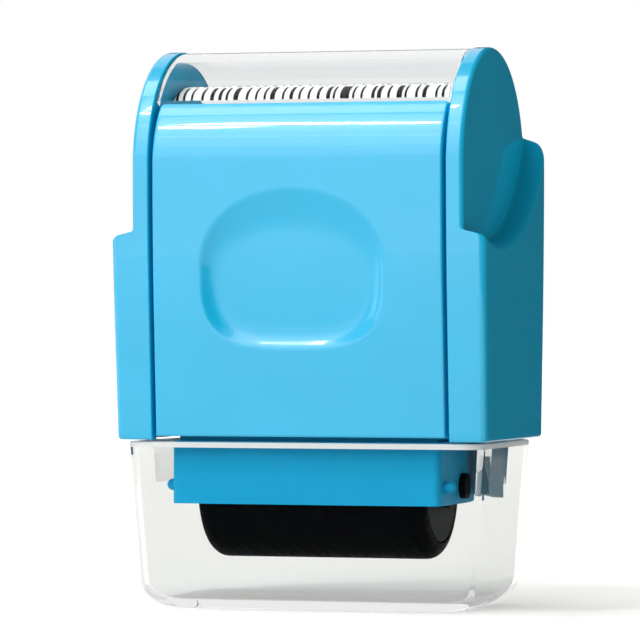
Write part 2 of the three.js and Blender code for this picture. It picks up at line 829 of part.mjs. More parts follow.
function feltSleeve() {
  const inner = inkRollerRadius - feltThickness;
  return geometryOf(tubeX(inkRollerRadius, inner, inkRollerLength / 2, inkRollerZ, rollerSides));
}

function inkRollerCore() {
  const outer = inkRollerRadius - feltThickness - fitGap;
  const inner = inkAxleRadius + fitGap;
  return geometryOf(tubeX(outer, inner, inkRollerLength / 2, inkRollerZ, axleSides));
}

// Cap: a clear cup whose front leans back towards the floor
function capRing(z, inset, radius) {
  const share = (capRimZ - z) / capRimZ;
  const halfWidth = flankX(housingBottomZ) - capRimInset - capSideLean * share - inset;
  const front = frontY(housingBottomZ) + capFrontSetback + capFrontLean * share + inset;
  const back = backY(housingBottomZ) - capBackSetback - capBackLean * share - inset;
  return roundedRing(z, -halfWidth, halfWidth, front, back, radius);
}

// A solid with the cap's taper, set in from its outside and rounded along its bottom edge
function capBody(inset, bottomZ, topZ, bottomRound) {
  const radius = capCornerRadius - inset;
  const rings = [];
  for (let step = 0; step <= capRoundSteps; step += 1) {
    const angle = (step / capRoundSteps) * (Math.PI / 2);
    const roundInset = bottomRound * (1 - Math.sin(angle));
    const z = bottomZ + bottomRound * (1 - Math.cos(angle));
    rings.push(capRing(z, inset + roundInset, radius));
  }
  rings.push(capRing(topZ, inset, radius));
  return loft(rings);
}

function capCup() {
  const outside = capBody(0, 0, capRimZ, capBottomRound);
  const inside = capBody(capWall, capFloor, capRimZ + overrun, capBottomRound - capWall);
  return outside.subtract(inside);
}

function cap() {
  const tongueOuterX = flankX(housingBottomZ) - flankWall - fitGap;
  const tongueInnerX = tongueOuterX - tongueThickness;
  const y0 = axisY - tongueWidth / 2;
  const y1 = axisY + tongueWidth / 2;
  const right = boxSolid(tongueInnerX, tongueOuterX, y0, y1, tongueBottomZ, tongueTopZ);
  const left = boxSolid(-tongueOuterX, -tongueInnerX, y0, y1, tongueBottomZ, tongueTopZ);
  return geometryOf(capCup().add(right).add(left));
}

// Assembly
function addMesh(parent, name, geometry, look) {
  const mesh = new THREE.Mesh(geometry, look);
  mesh.name = name;
  parent.add(mesh);
}

function addHousing(stamp) {
  const group = new THREE.Group();
  const cheek = rightCheek();
  addMesh(group, 'right_cheek', cheek, blueMoulding);
  addMesh(group, 'left_cheek', mirroredX(cheek), blueMoulding);
  addMesh(group, 'front_cover', frontCover(), blueMoulding);
  addMesh(group, 'rear_cover', rearCover(), blueMoulding);
  addMesh(group, 'top_window', topWindow(), clearPlastic);
  addMesh(group, 'pattern_saddle', patternSaddle(), whitePlastic);
  addMesh(group, 'pattern_strip', patternStrip(), printedPaper);
  addMesh(group, 'chassis', chassis(), darkBlueMoulding);
  const places = [['front', axisY - bossHalfSpacing], ['rear', axisY + bossHalfSpacing]];
  for (const [place, y] of places) {
    const screw = chassisScrew(y);
    addMesh(group, `right_${place}_screw`, screw, steel);
    addMesh(group, `left_${place}_screw`, mirroredX(screw), steel);
  }
  const spring = detentSpring();
  const rivet = detentRivet();
  addMesh(group, 'right_detent_spring', spring, steel);
  addMesh(group, 'left_detent_spring', mirroredX(spring), steel);
  addMesh(group, 'right_detent_rivet', rivet, steel);
  addMesh(group, 'left_detent_rivet', mirroredX(rivet), steel);
  stamp.add(group);
}

function addCartridge(stamp) {
  const group = new THREE.Group();
  addMesh(group, 'yoke', yoke(), blueMoulding);
  addMesh(group, 'cartridge_lid', cartridgeLid(), darkBlueMoulding);
  addMesh(group, 'front_lid_screw', lidScrew(-1), steel);
  addMesh(group, 'rear_lid_screw', lidScrew(1), steel);
  for (const [place, side] of [['left', -1], ['right', 1]]) {
    addMesh(group, `${place}_ink_block`, inkBlock(side), darkPlastic);
    addMesh(group, `${place}_ink_spring`, inkSpring(side), steel);
  }
  stamp.add(group);
}

function addRollers(stamp) {
  const group = new THREE.Group();
  const printAxle = rodX(
    printAxleRadius, -printAxleLength / 2, printAxleLength / 2, axisY, printRollerZ, axleSides,
  );
  addMesh(group, 'print_roller_axle', geometryOf(printAxle), darkPlastic);
  addMesh(group, 'print_roller_core', printRollerCore(), darkPlastic);
  addMesh(group, 'rubber_sleeve', rubberSleeve(), blackRubber);
  addMesh(group, 'left_thrust_washer', thrustWasher(-1), darkPlastic);
  addMesh(group, 'right_thrust_washer', thrustWasher(1), darkPlastic);
  const inkAxleHalf = yokeBoxWidth / 2 - fitGap;
  const inkAxle = rodX(inkAxleRadius, -inkAxleHalf, inkAxleHalf, axisY, inkRollerZ, axleSides);
  addMesh(group, 'ink_roller_axle', geometryOf(inkAxle), steel);
  addMesh(group, 'ink_roller_core', inkRollerCore(), darkPlastic);
  addMesh(group, 'felt_sleeve', feltSleeve(), inkFelt);
  stamp.add(group);
}

const stamp = new THREE.Group();
stamp.name = 'privacy_roller_stamp';
addHousing(stamp);
addCartridge(stamp);
addRollers(stamp);
addMesh(stamp, 'cap', cap(), clearPlastic);

export default stamp;
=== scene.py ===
"""Privacy roller stamp on its clear cap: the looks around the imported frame, laid out as a Blender add-on."""

import math

import bmesh
import bpy
from bpy.props import FloatProperty, FloatVectorProperty, PointerProperty
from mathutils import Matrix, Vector


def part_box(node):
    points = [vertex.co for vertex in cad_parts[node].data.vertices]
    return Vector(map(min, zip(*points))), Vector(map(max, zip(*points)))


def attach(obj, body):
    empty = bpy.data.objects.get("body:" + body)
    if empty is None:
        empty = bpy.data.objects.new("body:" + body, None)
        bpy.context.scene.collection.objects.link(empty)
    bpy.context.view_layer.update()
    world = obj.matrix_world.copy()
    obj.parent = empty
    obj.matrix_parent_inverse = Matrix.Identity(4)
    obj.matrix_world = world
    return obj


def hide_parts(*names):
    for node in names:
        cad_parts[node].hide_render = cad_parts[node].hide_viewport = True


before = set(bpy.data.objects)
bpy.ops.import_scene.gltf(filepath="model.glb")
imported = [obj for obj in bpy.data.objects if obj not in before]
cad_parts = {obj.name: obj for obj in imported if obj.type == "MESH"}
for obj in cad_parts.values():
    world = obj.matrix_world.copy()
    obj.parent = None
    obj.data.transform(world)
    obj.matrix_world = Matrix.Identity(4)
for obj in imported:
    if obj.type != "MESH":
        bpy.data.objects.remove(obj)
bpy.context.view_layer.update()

bl_info = {
    "name": "Privacy Roller Stamp",
    "version": (1, 0, 0),
    "blender": (4, 5, 0),
    "location": "View3D > Sidebar > Stamp",
    "description": "Builds the shells, print, rollers, cap and studio of a privacy roller stamp",
    "category": "Object",
}

MM = 0.001
PART_GAP = 0.3 * MM
HAIRLINE = 0.01 * MM
MERGE_DISTANCE = 0.002 * MM

# Places taken from the frame
CHEEK_LOW, CHEEK_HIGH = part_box("right_cheek")
FRONT_LOW, FRONT_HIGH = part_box("front_cover")
WINDOW_LOW, WINDOW_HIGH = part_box("top_window")
SADDLE_LOW, SADDLE_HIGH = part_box("pattern_saddle")
STRIP_LOW, STRIP_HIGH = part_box("pattern_strip")
SLEEVE_LOW, SLEEVE_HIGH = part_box("rubber_sleeve")
ARCH_RADIUS = CHEEK_HIGH.y
ARCH_Z = CHEEK_HIGH.z - ARCH_RADIUS
HOUSING_Z = CHEEK_LOW.z
EAR_INNER_X = WINDOW_HIGH.x + PART_GAP
FLANK_X = CHEEK_HIGH.x
ROLLER_Y = (SLEEVE_LOW.y + SLEEVE_HIGH.y) / 2
ROLLER_Z = (SLEEVE_LOW.z + SLEEVE_HIGH.z) / 2

# How finely the meshes are divided
SCOOP_COLUMNS = 44
SCOOP_SEARCH_STEPS = 40
FLANK_ROWS = 15
EAR_FOOT_ROWS = 6
EAR_STEPS = 96
COVER_COLUMNS = 150
LEAN_ROWS = 90
UPRIGHT_ROWS = 32
COVER_TOP_ROWS = 31
ARCH_STEPS = 96
LEG_ROWS = 6
CORNER_STEPS = 10
CAP_EDGE_STEPS = 12
CAP_WALL_ROWS = 8
ROLLER_SIDES = 128
BOSS_SIDES = 40
SHARP_ANGLE = math.radians(35)
FLAT_ANGLE = math.radians(1)
BROKEN_ANGLE = math.radians(40)
FACET_ANGLE = math.radians(30)
SCOOP_END_LIMIT = math.radians(75)

# The studio, in degrees and metres. Each lamp has a name, an azimuth, an elevation, a distance, a width,
# a height and a radiance, and each card has four corners.
CAMERA_AZIMUTH = 17.27
CAMERA_ELEVATION = 0.086
CAMERA_DISTANCE = 0.7406
CAMERA_TARGET = (-0.0018, 0.0, 0.04635)
CAMERA_LENS = 257.3
WORLD_LEVEL = 0.38
LAMPS = (
    ("front_low_softbox", -17.0, 5.0, 1.0, 0.5, 0.28, 1.4),
    ("front_softbox", -17.0, 20.0, 1.0, 0.5, 0.24, 2.2),
    ("front_high_softbox", -17.0, 33.5, 1.0, 0.5, 0.24, 3.1),
    ("high_softbox", -17.0, 54.0, 1.0, 0.5, 0.54, 2.8),
    ("left_softbox", -60.0, 4.0, 1.0, 0.5, 0.4, 1.7),
    ("top_softbox", -90.0, 70.0, 1.0, 0.5, 0.42, 4.4),
    ("highlight_lamp_right", -30.1, 55.6, 0.92, 0.1, 0.045, 60.0),
    ("highlight_lamp_left", -32.2, 51.0, 0.92, 0.05, 0.045, 60.0),
)
LAMPS_AIM = (0.0, 0.0, 0.05)
CARDS = {
    "black_card_behind": ((-0.06, 0.32, 0.001), (0.5, 0.32, 0.001), (0.5, 0.32, 1.8), (-0.06, 0.32, 1.8)),
    "black_card_low": ((-0.7, 0.32, 0.05), (-0.06, 0.32, 0.05), (-0.06, 0.32, 0.2), (-0.7, 0.32, 0.2)),
    "black_card_overhead": ((-0.5, 0.06, 0.8), (0.1, 0.06, 0.8), (0.1, 0.36, 0.8), (-0.5, 0.36, 0.8)),
    "black_card_beside": ((0.5, -0.3, 0.001), (0.5, 0.32, 0.001), (0.5, 0.32, 1.8), (0.5, -0.3, 1.8)),
    "black_card_front": ((0.15, -0.8, 0.001), (0.5, -0.3, 0.001), (0.5, -0.3, 0.6), (0.15, -0.8, 0.6)),
    "black_cloth_beside": (
        (0.04, -0.05, 0.001), (0.5, -0.05, 0.001), (0.5, 0.32, 0.001), (0.04, 0.32, 0.001)
    ),
}
FLOOR_HALF = 4.0
FLOOR_GLOW_START, FLOOR_GLOW_END = 0.1, 0.8
FLOOR_GLOW_NEAR, FLOOR_GLOW_FAR = 0.36, 0.76

# Colours that a user has no reason to change
STUDIO_LIGHT = "#ffffff"
WALLS_LIGHT = "#fffcea"
CARD_BLACK = "#070707"
TONGUE_TINT = "#fdfdfd"
QUIET_GLOSS = "#aaaaaa"


# Colours are written as sRGB hex values and used as linear ones
def linear(hex_colour):
    """The linear red, green and blue of an sRGB hex value."""
    channels = [int(hex_colour[i : i + 2], 16) / 255 for i in (1, 3, 5)]
    return tuple(c / 12.92 if c <= 0.04045 else ((c + 0.055) / 1.055) ** 2.4 for c in channels)


def length(name, description, millimetres):
    """A length that a user can change, shown in the scene's units."""
    return FloatProperty(
        name=name, description=description, default=millimetres * MM, unit="LENGTH", min=0.0, precision=5
    )


def colour(name, description, hex_colour):
    """A colour that a user can change."""
    return FloatVectorProperty(
        name=name, description=description, default=linear(hex_colour), subtype="COLOR", min=0.0, max=1.0
    )


class StampSizes(bpy.types.PropertyGroup):
    """Sizes of the moulded shells that the frame's boxes don't give."""

    front_lean: length("Front lean", "How far the front leans in at the housing's foot", 2.0)
    back_lean: length("Back lean", "How far the back leans in at the housing's foot", 0.8)
    side_lean: length("Side lean", "How far each flank leans in at the housing's foot", 0.3)
    lean_drop: length("Lean start", "How far below the round top's middle the lean starts", 12.0)
    lean_soft: length("Lean softness", "Half height of the bend where the lean starts", 14.0)
    ear_thickness: length("Ear thickness", "Thickness of the round ears", 2.8)
    rim_round: length("Rim round", "Radius of the cheeks' outer edges", 1.15)
    ear_round: length("Ear rounding", "Rounding of the ears' outer edge", 0.7)
    inner_round: length("Inner round", "Radius of the cheeks' inner edges", 0.3)
    scoop_radius: length("Scoop radius", "Radius of the finger scoop", 29.5)
    scoop_drop: length("Scoop drop", "Lowest point of the scoop below the round top's middle", 12.4)
    scoop_setback: length("Scoop setback", "How far the scoop's middle lies in front of the stamp's", 8.6)
    scoop_fillet: length("Scoop fillet", "Radius where the scoop meets the ear", 0.8)
    scoop_flare: length("Scoop flare", "How much wider the scoop is at the flank's face", 0.5)
    scoop_lip: length("Scoop lip", "Radius of the ledge's outer edge", 1.0)
    flank_wall: length("Flank wall", "Wall of the hollow flanks", 2.0)
    pocket_drop: length("Pocket drop", "How far the flank's hollow ends below the scoop", 2.1)
    cover_thickness: length("Cover thickness", "Wall of the covers", 1.6)
    cover_top_radius: length("Cover top radius", "Radius of the covers' curved tops", 13.5)
    cover_round: length("Cover edge round", "Radius of the covers' edges", 0.35)
    cover_corner: length("Cover corner", "Radius of the covers' top corners", 1.0)
    part_gap: length("Gap", "Gap between parts that must not touch", PART_GAP / MM)
    ledge_setback: length("Ledge setback", "How far the cheeks' ledges lie behind the covers' faces", 1.9)
    ledge_thickness: length("Ledge thickness", "Thickness of the ledges", 0.8)
    ledge_reach: length("Ledge reach", "How far the ledges reach behind the covers", 2.0)
    foot_round: length("Foot round", "Radius of the cheeks' lower edges", 0.35)
    boss_radius: length("Boss radius", "Outer radius of the screw bosses", 2.6)
    boss_wall: length("Boss wall", "Wall of the screw bosses", 1.7)
    sleeve_half_width: length("Frame half width", "Half width of the inner frame's sleeve", 25.3)
    recess_width: length("Recess width", "Width of the thumb recess", 30.0)
    recess_height: length("Recess height", "Height of the thumb recess", 24.9)
    recess_drop: length("Recess drop", "Top of the recess below the round top's middle", 3.9)
    recess_shift: length("Recess shift", "How far the recess's middle lies to the left of the cover's", 0.8)
    recess_lip: length("Recess lip", "Half width of the recess's soft lip", 0.5)
    recess_top_fullness: FloatProperty(
        name="Recess top fullness", description="2 is an ellipse, more is squarer", default=2.1, min=1.5
    )
    recess_bottom_fullness: FloatProperty(
        name="Recess bottom fullness", description="2 is an ellipse, more is squarer", default=3.3, min=1.5
    )
    recess_depth: length("Recess depth", "Depth of the thumb recess", 1.15)
    recess_wall: length("Recess wall", "How far in from its edge the recess gets deeper", 5.6)
    window_thickness: length("Window thickness", "Wall of the clear window", 1.4)
    window_round: length("Window edge round", "Radius of the window's edges", 0.25)
    film_thickness: length("Film thickness", "Thickness of the printed film", 0.25)
    saddle_thickness: length("Saddle thickness", "Wall of the film's saddle", 1.4)
    cap_wall: length("Cap wall", "Wall of the clear cap", 1.2)
    cap_floor: length("Cap floor", "Floor of the clear cap", 1.6)
    cap_corner: length("Cap corner", "Radius of the cap's upright corners", 3.0)
    cap_bottom_round: length("Cap bottom round", "Radius of the cap's bottom edge", 4.5)
    cap_side_gap: length("Cap side gap", "How far the cap's rim lies inside the flanks", 1.2)
    cap_front_gap: length("Cap front gap", "How far the cap's rim lies behind the housing's front", 0.5)
    cap_back_gap: length("Cap back gap", "How far the cap's rim lies inside the housing's back", 1.6)
    cap_side_lean: length("Cap side lean", "How far each side of the cap leans in at its foot", 1.8)
    cap_front_lean: length("Cap front lean", "How far the cap's front leans in at its foot", 1.6)
    cap_back_lean: length("Cap back lean", "How far the cap's back leans in at its foot", 1.2)
    # The frosted band along the cap's rim is a painted highlight
    cap_frost_highlight: length("Cap frosted rim", "Height of the rubbed band along the cap's rim", 0.9)
    cap_rim_round: length("Cap rim round", "Radius of the cap's rim", 0.3)
    tongue_width: length("Tongue width", "Width of the cap's spring tongues", 10.0)
    tongue_thickness: length("Tongue thickness", "Thickness of the spring tongues", 1.3)
    tongue_rise: length("Tongue rise", "How far the tongues stand above the cap's rim", 6.1)
    tongue_root: length("Tongue root", "How far the tongues reach below the cap's rim", 6.9)
    roller_wall: length("Roller wall", "Wall of the rubber sleeve", 2.5)
    roller_round: length("Roller end round", "Radius of the roller's ends", 2.4)
    mark_spacing: length("Mark spacing", "Width of one lane of the masking marks", 1.5)
    film_row: length("Film row", "Height of a row of marks on the film", 8.4)
    roller_row: length("Roller row", "Height of a row of marks on the roller", 3.6)
    mark_height: length("Mark height", "How far the roller's marks stand out", 0.25)
    yoke_edge: length("Yoke edge", "Rounding of the yoke's edges", 0.35)
    chassis_edge: length("Chassis edge", "Rounding of the inner frame's edges", 0.25)
    small_edge: length("Small edge", "Broken edges of the lid, axle and washers", 0.2)
    block_edge: length("Block edge", "Broken edges of the ink roller's blocks", 0.15)
    screw_edge: length("Screw edge", "Broken edges of the screws", 0.12)
    rivet_edge: length("Rivet edge", "Broken edges of the rivets", 0.1)


class StampColours(bpy.types.PropertyGroup):
    """Colours of the stamp's materials."""

    shell: colour("Shell", "Glossy blue ABS of the outer shells", "#06b2e3")
    yoke: colour("Yoke", "Blue ABS of the roller's yoke", "#20ade2")
    inner: colour("Inner frame", "Darker blue of the inner frame", "#2d7f9f")
    print_ink: colour("Print", "Black of the printed marks", "#0c0c0e")
    acrylic: colour("Acrylic", "Clear acrylic of the cap and window", "#eaebeb")
    film: colour("Film", "White of the printed film", "#f4f4f2")
    carrier: colour("Carrier", "White of the strip's carrier", "#e4e6e8")
    rubber: colour("Rubber", "Inked rubber of the pattern roller", "#06080a")
    felt: colour("Felt", "Ink-soaked felt", "#111318")
    dark_moulding: colour("Dark moulding", "Axles, cores and washers", "#15181c")
    steel: colour("Steel", "Screws, springs and rivets", "#b4b7bb")
    floor: colour("Floor", "Floor of the studio", "#f2f2f2")


def sizes():
    """The sizes as the panel has them."""
    return bpy.context.scene.stamp_sizes


def colours():
    """The colours as the panel has them."""
    return bpy.context.scene.stamp_colours


# Materials
def node(tree, kind, links=None, **settings):
    """Adds a node with its settings; links maps an input to a value, an output or a node that feeds it."""
    made = tree.nodes.new(kind)
    for name, value in settings.items():
        setattr(made, name, value)
    for key, value in (links or {}).items():
        if isinstance(value, bpy.types.Node):
            value = next(output for output in value.outputs if output.enabled)
        if isinstance(value, bpy.types.NodeSocket):
            tree.links.new(value, made.inputs[key])
        else:
            made.inputs[key].default_value = value
    return made


def rgba(rgb):
    """A colour without transparency, as a socket takes it."""
    return (*rgb, 1.0)


def scaled(rgb, factor):
    """A lighter or darker version of a colour."""
    return tuple(min(1.0, c * factor) for c in rgb)


def new_material(name):
    """A material without nodes, and its tree."""
    material = bpy.data.materials.new(name)
    material.use_nodes = True
    material.node_tree.nodes.clear()
    return material, material.node_tree


def blue_abs(name, rgb, roughness, coat, coat_roughness, ior):
    """ABS, injection moulded in a tool that is polished, satin, matte or left as it was cut."""
    # To the eye: one deep even blue with a broad sheen, and over it the thin sharp gloss of the tool's
    # polish, which is the coat. A satin tool blurs that gloss, and a matte or unpolished one leaves
    # none, and there the IOR is matched lower, because a rough skin doesn't mirror at a glancing angle.
    # The melt's flow shows as a very faint cloud 14 mm across, the skin's sink as a ripple 9 mm long, and
    # handling as a haze in 3 mm patches.
    material, tree = new_material(name)
    place = node(tree, "ShaderNodeTexCoord").outputs["Object"]
    flow = node(tree, "ShaderNodeTexNoise", {"Vector": place, "Scale": 1 / (14 * MM), "Detail": 3.0})
    haze = node(tree, "ShaderNodeTexNoise", {"Vector": place, "Scale": 1 / (3 * MM), "Detail": 2.0})
    ripple = node(tree, "ShaderNodeTexNoise", {"Vector": place, "Scale": 1 / (9 * MM), "Detail": 0.0})
    body = node(
        tree,
        "ShaderNodeMix",
        {0: flow, 6: rgba(scaled(rgb, 0.94)), 7: rgba(scaled(rgb, 1.06))},
        data_type="RGBA",
    )
    gloss = node(
        tree,
        "ShaderNodeMapRange",
        {"Value": haze, "From Min": 0.35, "From Max": 0.75, "To Min": roughness, "To Max": roughness + 0.02},
    )
    bump = node(tree, "ShaderNodeBump", {"Height": ripple, "Strength": 0.1, "Distance": 0.02 * MM})
    shader = node(
        tree,
        "ShaderNodeBsdfPrincipled",
        {"Base Color": body, "Roughness": gloss, "Normal": bump, "IOR": ior, "Specular IOR Level": 0.35,
         "Coat Weight": coat, "Coat Roughness": coat_roughness},
    )
    node(tree, "ShaderNodeOutputMaterial", {"Surface": shader})
    return material


def inner_abs(name, rgb):
    """ABS, injection moulded in a spark-eroded tool."""
    # To the eye: a greyer, duller blue than the shells', with a fine even grain. The real grain is
    # 0.1 mm, and it is drawn at 0.35 mm, as coarse as it needs to show. The IOR is matched below ABS's
    # 1.54, for legs that are seen at a glancing angle.
    material, tree = new_material(name)
    place = node(tree, "ShaderNodeTexCoord").outputs["Object"]
    grain = node(tree, "ShaderNodeTexNoise", {"Vector": place, "Scale": 1 / (0.35 * MM), "Detail": 2.0})
    flow = node(tree, "ShaderNodeTexNoise", {"Vector": place, "Scale": 1 / (9 * MM), "Detail": 2.0})
    body = node(
        tree,
        "ShaderNodeMix",
        {0: flow, 6: rgba(scaled(rgb, 0.85)), 7: rgba(scaled(rgb, 1.15))},
        data_type="RGBA",
    )
    bump = node(tree, "ShaderNodeBump", {"Height": grain, "Strength": 0.25, "Distance": 0.03 * MM})
    shader = node(
        tree,
        "ShaderNodeBsdfPrincipled",
        {"Base Color": body, "Roughness": 0.42, "Normal": bump, "IOR": 1.3},
    )
    node(tree, "ShaderNodeOutputMaterial", {"Surface": shader})
    return material


def clear_acrylic(name, tint, ior, shadow_share):
    """Acrylic, injection moulded in a polished tool."""
    # To the eye: clear with a light grey in its thickness, quiet reflections, and waves 11 mm long from the
    # cooling skin. The IOR is matched far below acrylic's 1.49, which would trap the view in the walls'
    # corners and turn them black. A shadow ray passes, so the part throws the light shadow a clear one
    # does, and so does a ray that is trapped all the same.
    material, tree = new_material(name)
    place = node(tree, "ShaderNodeTexCoord").outputs["Object"]
    wave = node(tree, "ShaderNodeTexNoise", {"Vector": place, "Scale": 1 / (11 * MM), "Detail": 1.0})
    haze = node(tree, "ShaderNodeTexNoise", {"Vector": place, "Scale": 1 / (4 * MM), "Detail": 5.0})
    gloss = node(
        tree,
        "ShaderNodeMapRange",
        {"Value": haze, "From Min": 0.4, "From Max": 0.8, "To Min": 0.02, "To Max": 0.05},
    )
    bump = node(tree, "ShaderNodeBump", {"Height": wave, "Strength": 0.1, "Distance": 0.05 * MM})
    glass = node(
        tree,
        "ShaderNodeBsdfPrincipled",
        {"Base Color": rgba(tint), "Roughness": gloss, "IOR": ior, "Transmission Weight": 1.0, "Normal": bump,
         "Specular Tint": rgba(linear(QUIET_GLOSS))},
    )
    passing = node(tree, "ShaderNodeBsdfTransparent", {"Color": rgba(scaled(tint, shadow_share))})
    path = node(tree, "ShaderNodeLightPath")
    trapped = node(tree, "ShaderNodeMath", {0: path.outputs["Ray Depth"], 1: 4.5}, operation="GREATER_THAN")
    straight = node(
        tree, "ShaderNodeMath", {0: path.outputs["Is Shadow Ray"], 1: trapped}, operation="MAXIMUM"
    )
    mix = node(tree, "ShaderNodeMixShader", {0: straight, 1: glass, 2: passing})
    node(tree, "ShaderNodeOutputMaterial", {"Surface": mix})
    return material


def highlight_frosted_acrylic(name, tint):
    """Acrylic, frosted along the cap's rim, whose bright band is a painted highlight of the rim."""
    # To the eye: a bright frosted white line with 0.3 mm scratches, which is a painted highlight of the rim.
    material, tree = new_material(name)
    place = node(tree, "ShaderNodeTexCoord").outputs["Object"]
    scratch = node(tree, "ShaderNodeTexNoise", {"Vector": place, "Scale": 1 / (0.3 * MM), "Detail": 4.0})
    gloss = node(tree, "ShaderNodeMapRange", {"Value": scratch, "To Min": 0.45, "To Max": 0.75})
    bump = node(tree, "ShaderNodeBump", {"Height": scratch, "Strength": 0.3, "Distance": 0.03 * MM})
    shader = node(
        tree,
        "ShaderNodeBsdfPrincipled",
        {"Base Color": rgba(tint), "Roughness": gloss, "IOR": 1.49, "Transmission Weight": 0.35,
         "Normal": bump},
    )
    node(tree, "ShaderNodeOutputMaterial", {"Surface": shader})
    return material


def white_polystyrene(name, rgb):
    """High-impact polystyrene, injection moulded in a plain tool."""
    # To the eye: a chalky white satin, with cloudy patches 6 mm across where the skin cooled unevenly.
    material, tree = new_material(name)
    place = node(tree, "ShaderNodeTexCoord").outputs["Object"]
    cloud = node(tree, "ShaderNodeTexNoise", {"Vector": place, "Scale": 1 / (6 * MM), "Detail": 3.0})
    body = node(tree, "ShaderNodeMix", {0: cloud, 6: rgba(scaled(rgb, 0.9)), 7: rgba(rgb)}, data_type="RGBA")
    bump = node(tree, "ShaderNodeBump", {"Height": cloud, "Strength": 0.1, "Distance": 0.05 * MM})
    shader = node(
        tree,
        "ShaderNodeBsdfPrincipled",
        {"Base Color": body, "Roughness": 0.45, "Normal": bump, "IOR": 1.59},
    )
    node(tree, "ShaderNodeOutputMaterial", {"Surface": shader})
    return material


def masking_marks(tree, centre_y, centre_z, radius, spacing, row_height):
    """A mask of abstract marks round an axis along X: bowed bars of uneven width in rows, a few of them as
    wide as their lane."""
    # Each step has a name, an operation and its inputs. Widths and places are shares of a lane or a row.
    place = node(tree, "ShaderNodeTexCoord").outputs["Object"]
    split = node(tree, "ShaderNodeSeparateXYZ", {"Vector": place})
    steps = [
        ("up", "SUBTRACT", split.outputs["Z"], centre_z),
        ("forward", "SUBTRACT", centre_y, split.outputs["Y"]),
        ("turn", "ARCTAN2", "up", "forward"),
        ("rows", "MULTIPLY_ADD", "turn", radius / row_height, 0.855),
        ("row", "FLOOR", "rows", 0.0),
        ("rise", "FRACT", "rows", 0.0),
        ("half turn", "MULTIPLY", "rise", math.pi),
        ("arch", "SINE", "half turn", 0.0),
        ("bow", "MULTIPLY", "arch", -0.3),
        ("lean", "MULTIPLY_ADD", "rise", -0.9, "bow"),
        ("across", "DIVIDE", split.outputs["X"], spacing),
        ("shift", "MULTIPLY_ADD", "row", 7.37, "across"),
        ("lanes", "SUBTRACT", "shift", "lean"),
        ("lane", "FLOOR", "lanes", 0.0),
        ("in lane", "FRACT", "lanes", 0.0),
    ]
    after_chance = [
        ("middle", "MULTIPLY_ADD", "first", 0.46, 0.27),
        ("square", "MULTIPLY", "second", "second"),
        ("half width", "MULTIPLY_ADD", "square", 0.2, 0.13),
        ("off middle", "SUBTRACT", "in lane", "middle"),
        ("bar", "COMPARE", "off middle", 0.0, "half width"),
        ("in row", "COMPARE", "rise", 0.5, 0.45),
        ("full lane", "COMPARE", "third", 1.0, 0.04),
        ("filled", "MAXIMUM", "bar", "full lane"),
        ("marks", "MULTIPLY", "filled", "in row"),
    ]
    made = {}
    for name, operation, *values in steps:
        inputs = {i: made.get(value, value) for i, value in enumerate(values)}
        made[name] = node(tree, "ShaderNodeMath", inputs, operation=operation)
    cell = node(tree, "ShaderNodeCombineXYZ", {"X": made["lane"], "Y": made["row"]})
    chance = node(tree, "ShaderNodeTexWhiteNoise", {"Vector": cell})
    parts = node(tree, "ShaderNodeSeparateColor", {"Color": chance.outputs["Color"]})
    made.update(zip(("first", "second", "third"), parts.outputs))
    for name, operation, *values in after_chance:
        inputs = {i: made.get(value, value) for i, value in enumerate(values)}
        made[name] = node(tree, "ShaderNodeMath", inputs, operation=operation)
    return made["marks"]


def printed_film(name, paper, ink):
    """Polyester film, coated white and screen printed in black."""
    # To the eye: a bright satin white with a faint 0.8 mm mottle, and crisp ink that is a little glossier.
    # The IOR is matched below polyester's 1.6, for a strip that is seen at a glancing angle.
    s = sizes()
    material, tree = new_material(name)
    place = node(tree, "ShaderNodeTexCoord").outputs["Object"]
    marks = masking_marks(tree, 0.0, ARCH_Z, STRIP_HIGH.z - ARCH_Z, s.mark_spacing, s.film_row)
    mottle = node(tree, "ShaderNodeTexNoise", {"Vector": place, "Scale": 1 / (0.8 * MM), "Detail": 3.0})
    tone = node(
        tree, "ShaderNodeMix", {0: mottle, 6: rgba(scaled(paper, 0.95)), 7: rgba(paper)}, data_type="RGBA"
    )
    body = node(tree, "ShaderNodeMix", {0: marks, 6: tone, 7: rgba(ink)}, data_type="RGBA")
    gloss = node(tree, "ShaderNodeMapRange", {"Value": marks, "To Min": 0.5, "To Max": 0.32})
    shader = node(
        tree,
        "ShaderNodeBsdfPrincipled",
        {"Base Color": body, "Roughness": gloss, "IOR": 1.12, "Specular IOR Level": 0.4},
    )
    node(tree, "ShaderNodeOutputMaterial", {"Surface": shader})
    return material


def inked_rubber(name, rgb):
    """Nitrile rubber, moulded with raised marks and wet with ink."""
    # To the eye: nearly black all over, with hardly any gloss beside the ink standing on the raised
    # marks. The IOR is matched below rubber's 1.52, because the ink swallows the gloss.
    s = sizes()
    material, tree = new_material(name)
    place = node(tree, "ShaderNodeTexCoord").outputs["Object"]
    radius = (SLEEVE_HIGH.z - SLEEVE_LOW.z) / 2
    marks = masking_marks(tree, ROLLER_Y, ROLLER_Z, radius, s.mark_spacing, s.roller_row)
    ink = node(tree, "ShaderNodeTexNoise", {"Vector": place, "Scale": 1 / (3 * MM), "Detail": 4.0})
    body = node(
        tree,
        "ShaderNodeMix",
        {0: ink, 6: rgba(scaled(rgb, 0.6)), 7: rgba(scaled(rgb, 1.6))},
        data_type="RGBA",
    )
    gloss = node(tree, "ShaderNodeMapRange", {"Value": marks, "To Min": 0.6, "To Max": 0.42})
    bump = node(tree, "ShaderNodeBump", {"Height": marks, "Strength": 0.35, "Distance": s.mark_height})
    shader = node(
        tree,
        "ShaderNodeBsdfPrincipled",
        {"Base Color": body, "Roughness": gloss, "Normal": bump, "IOR": 1.15, "Specular IOR Level": 0.2},
    )
    node(tree, "ShaderNodeOutputMaterial", {"Surface": shader})
    return material


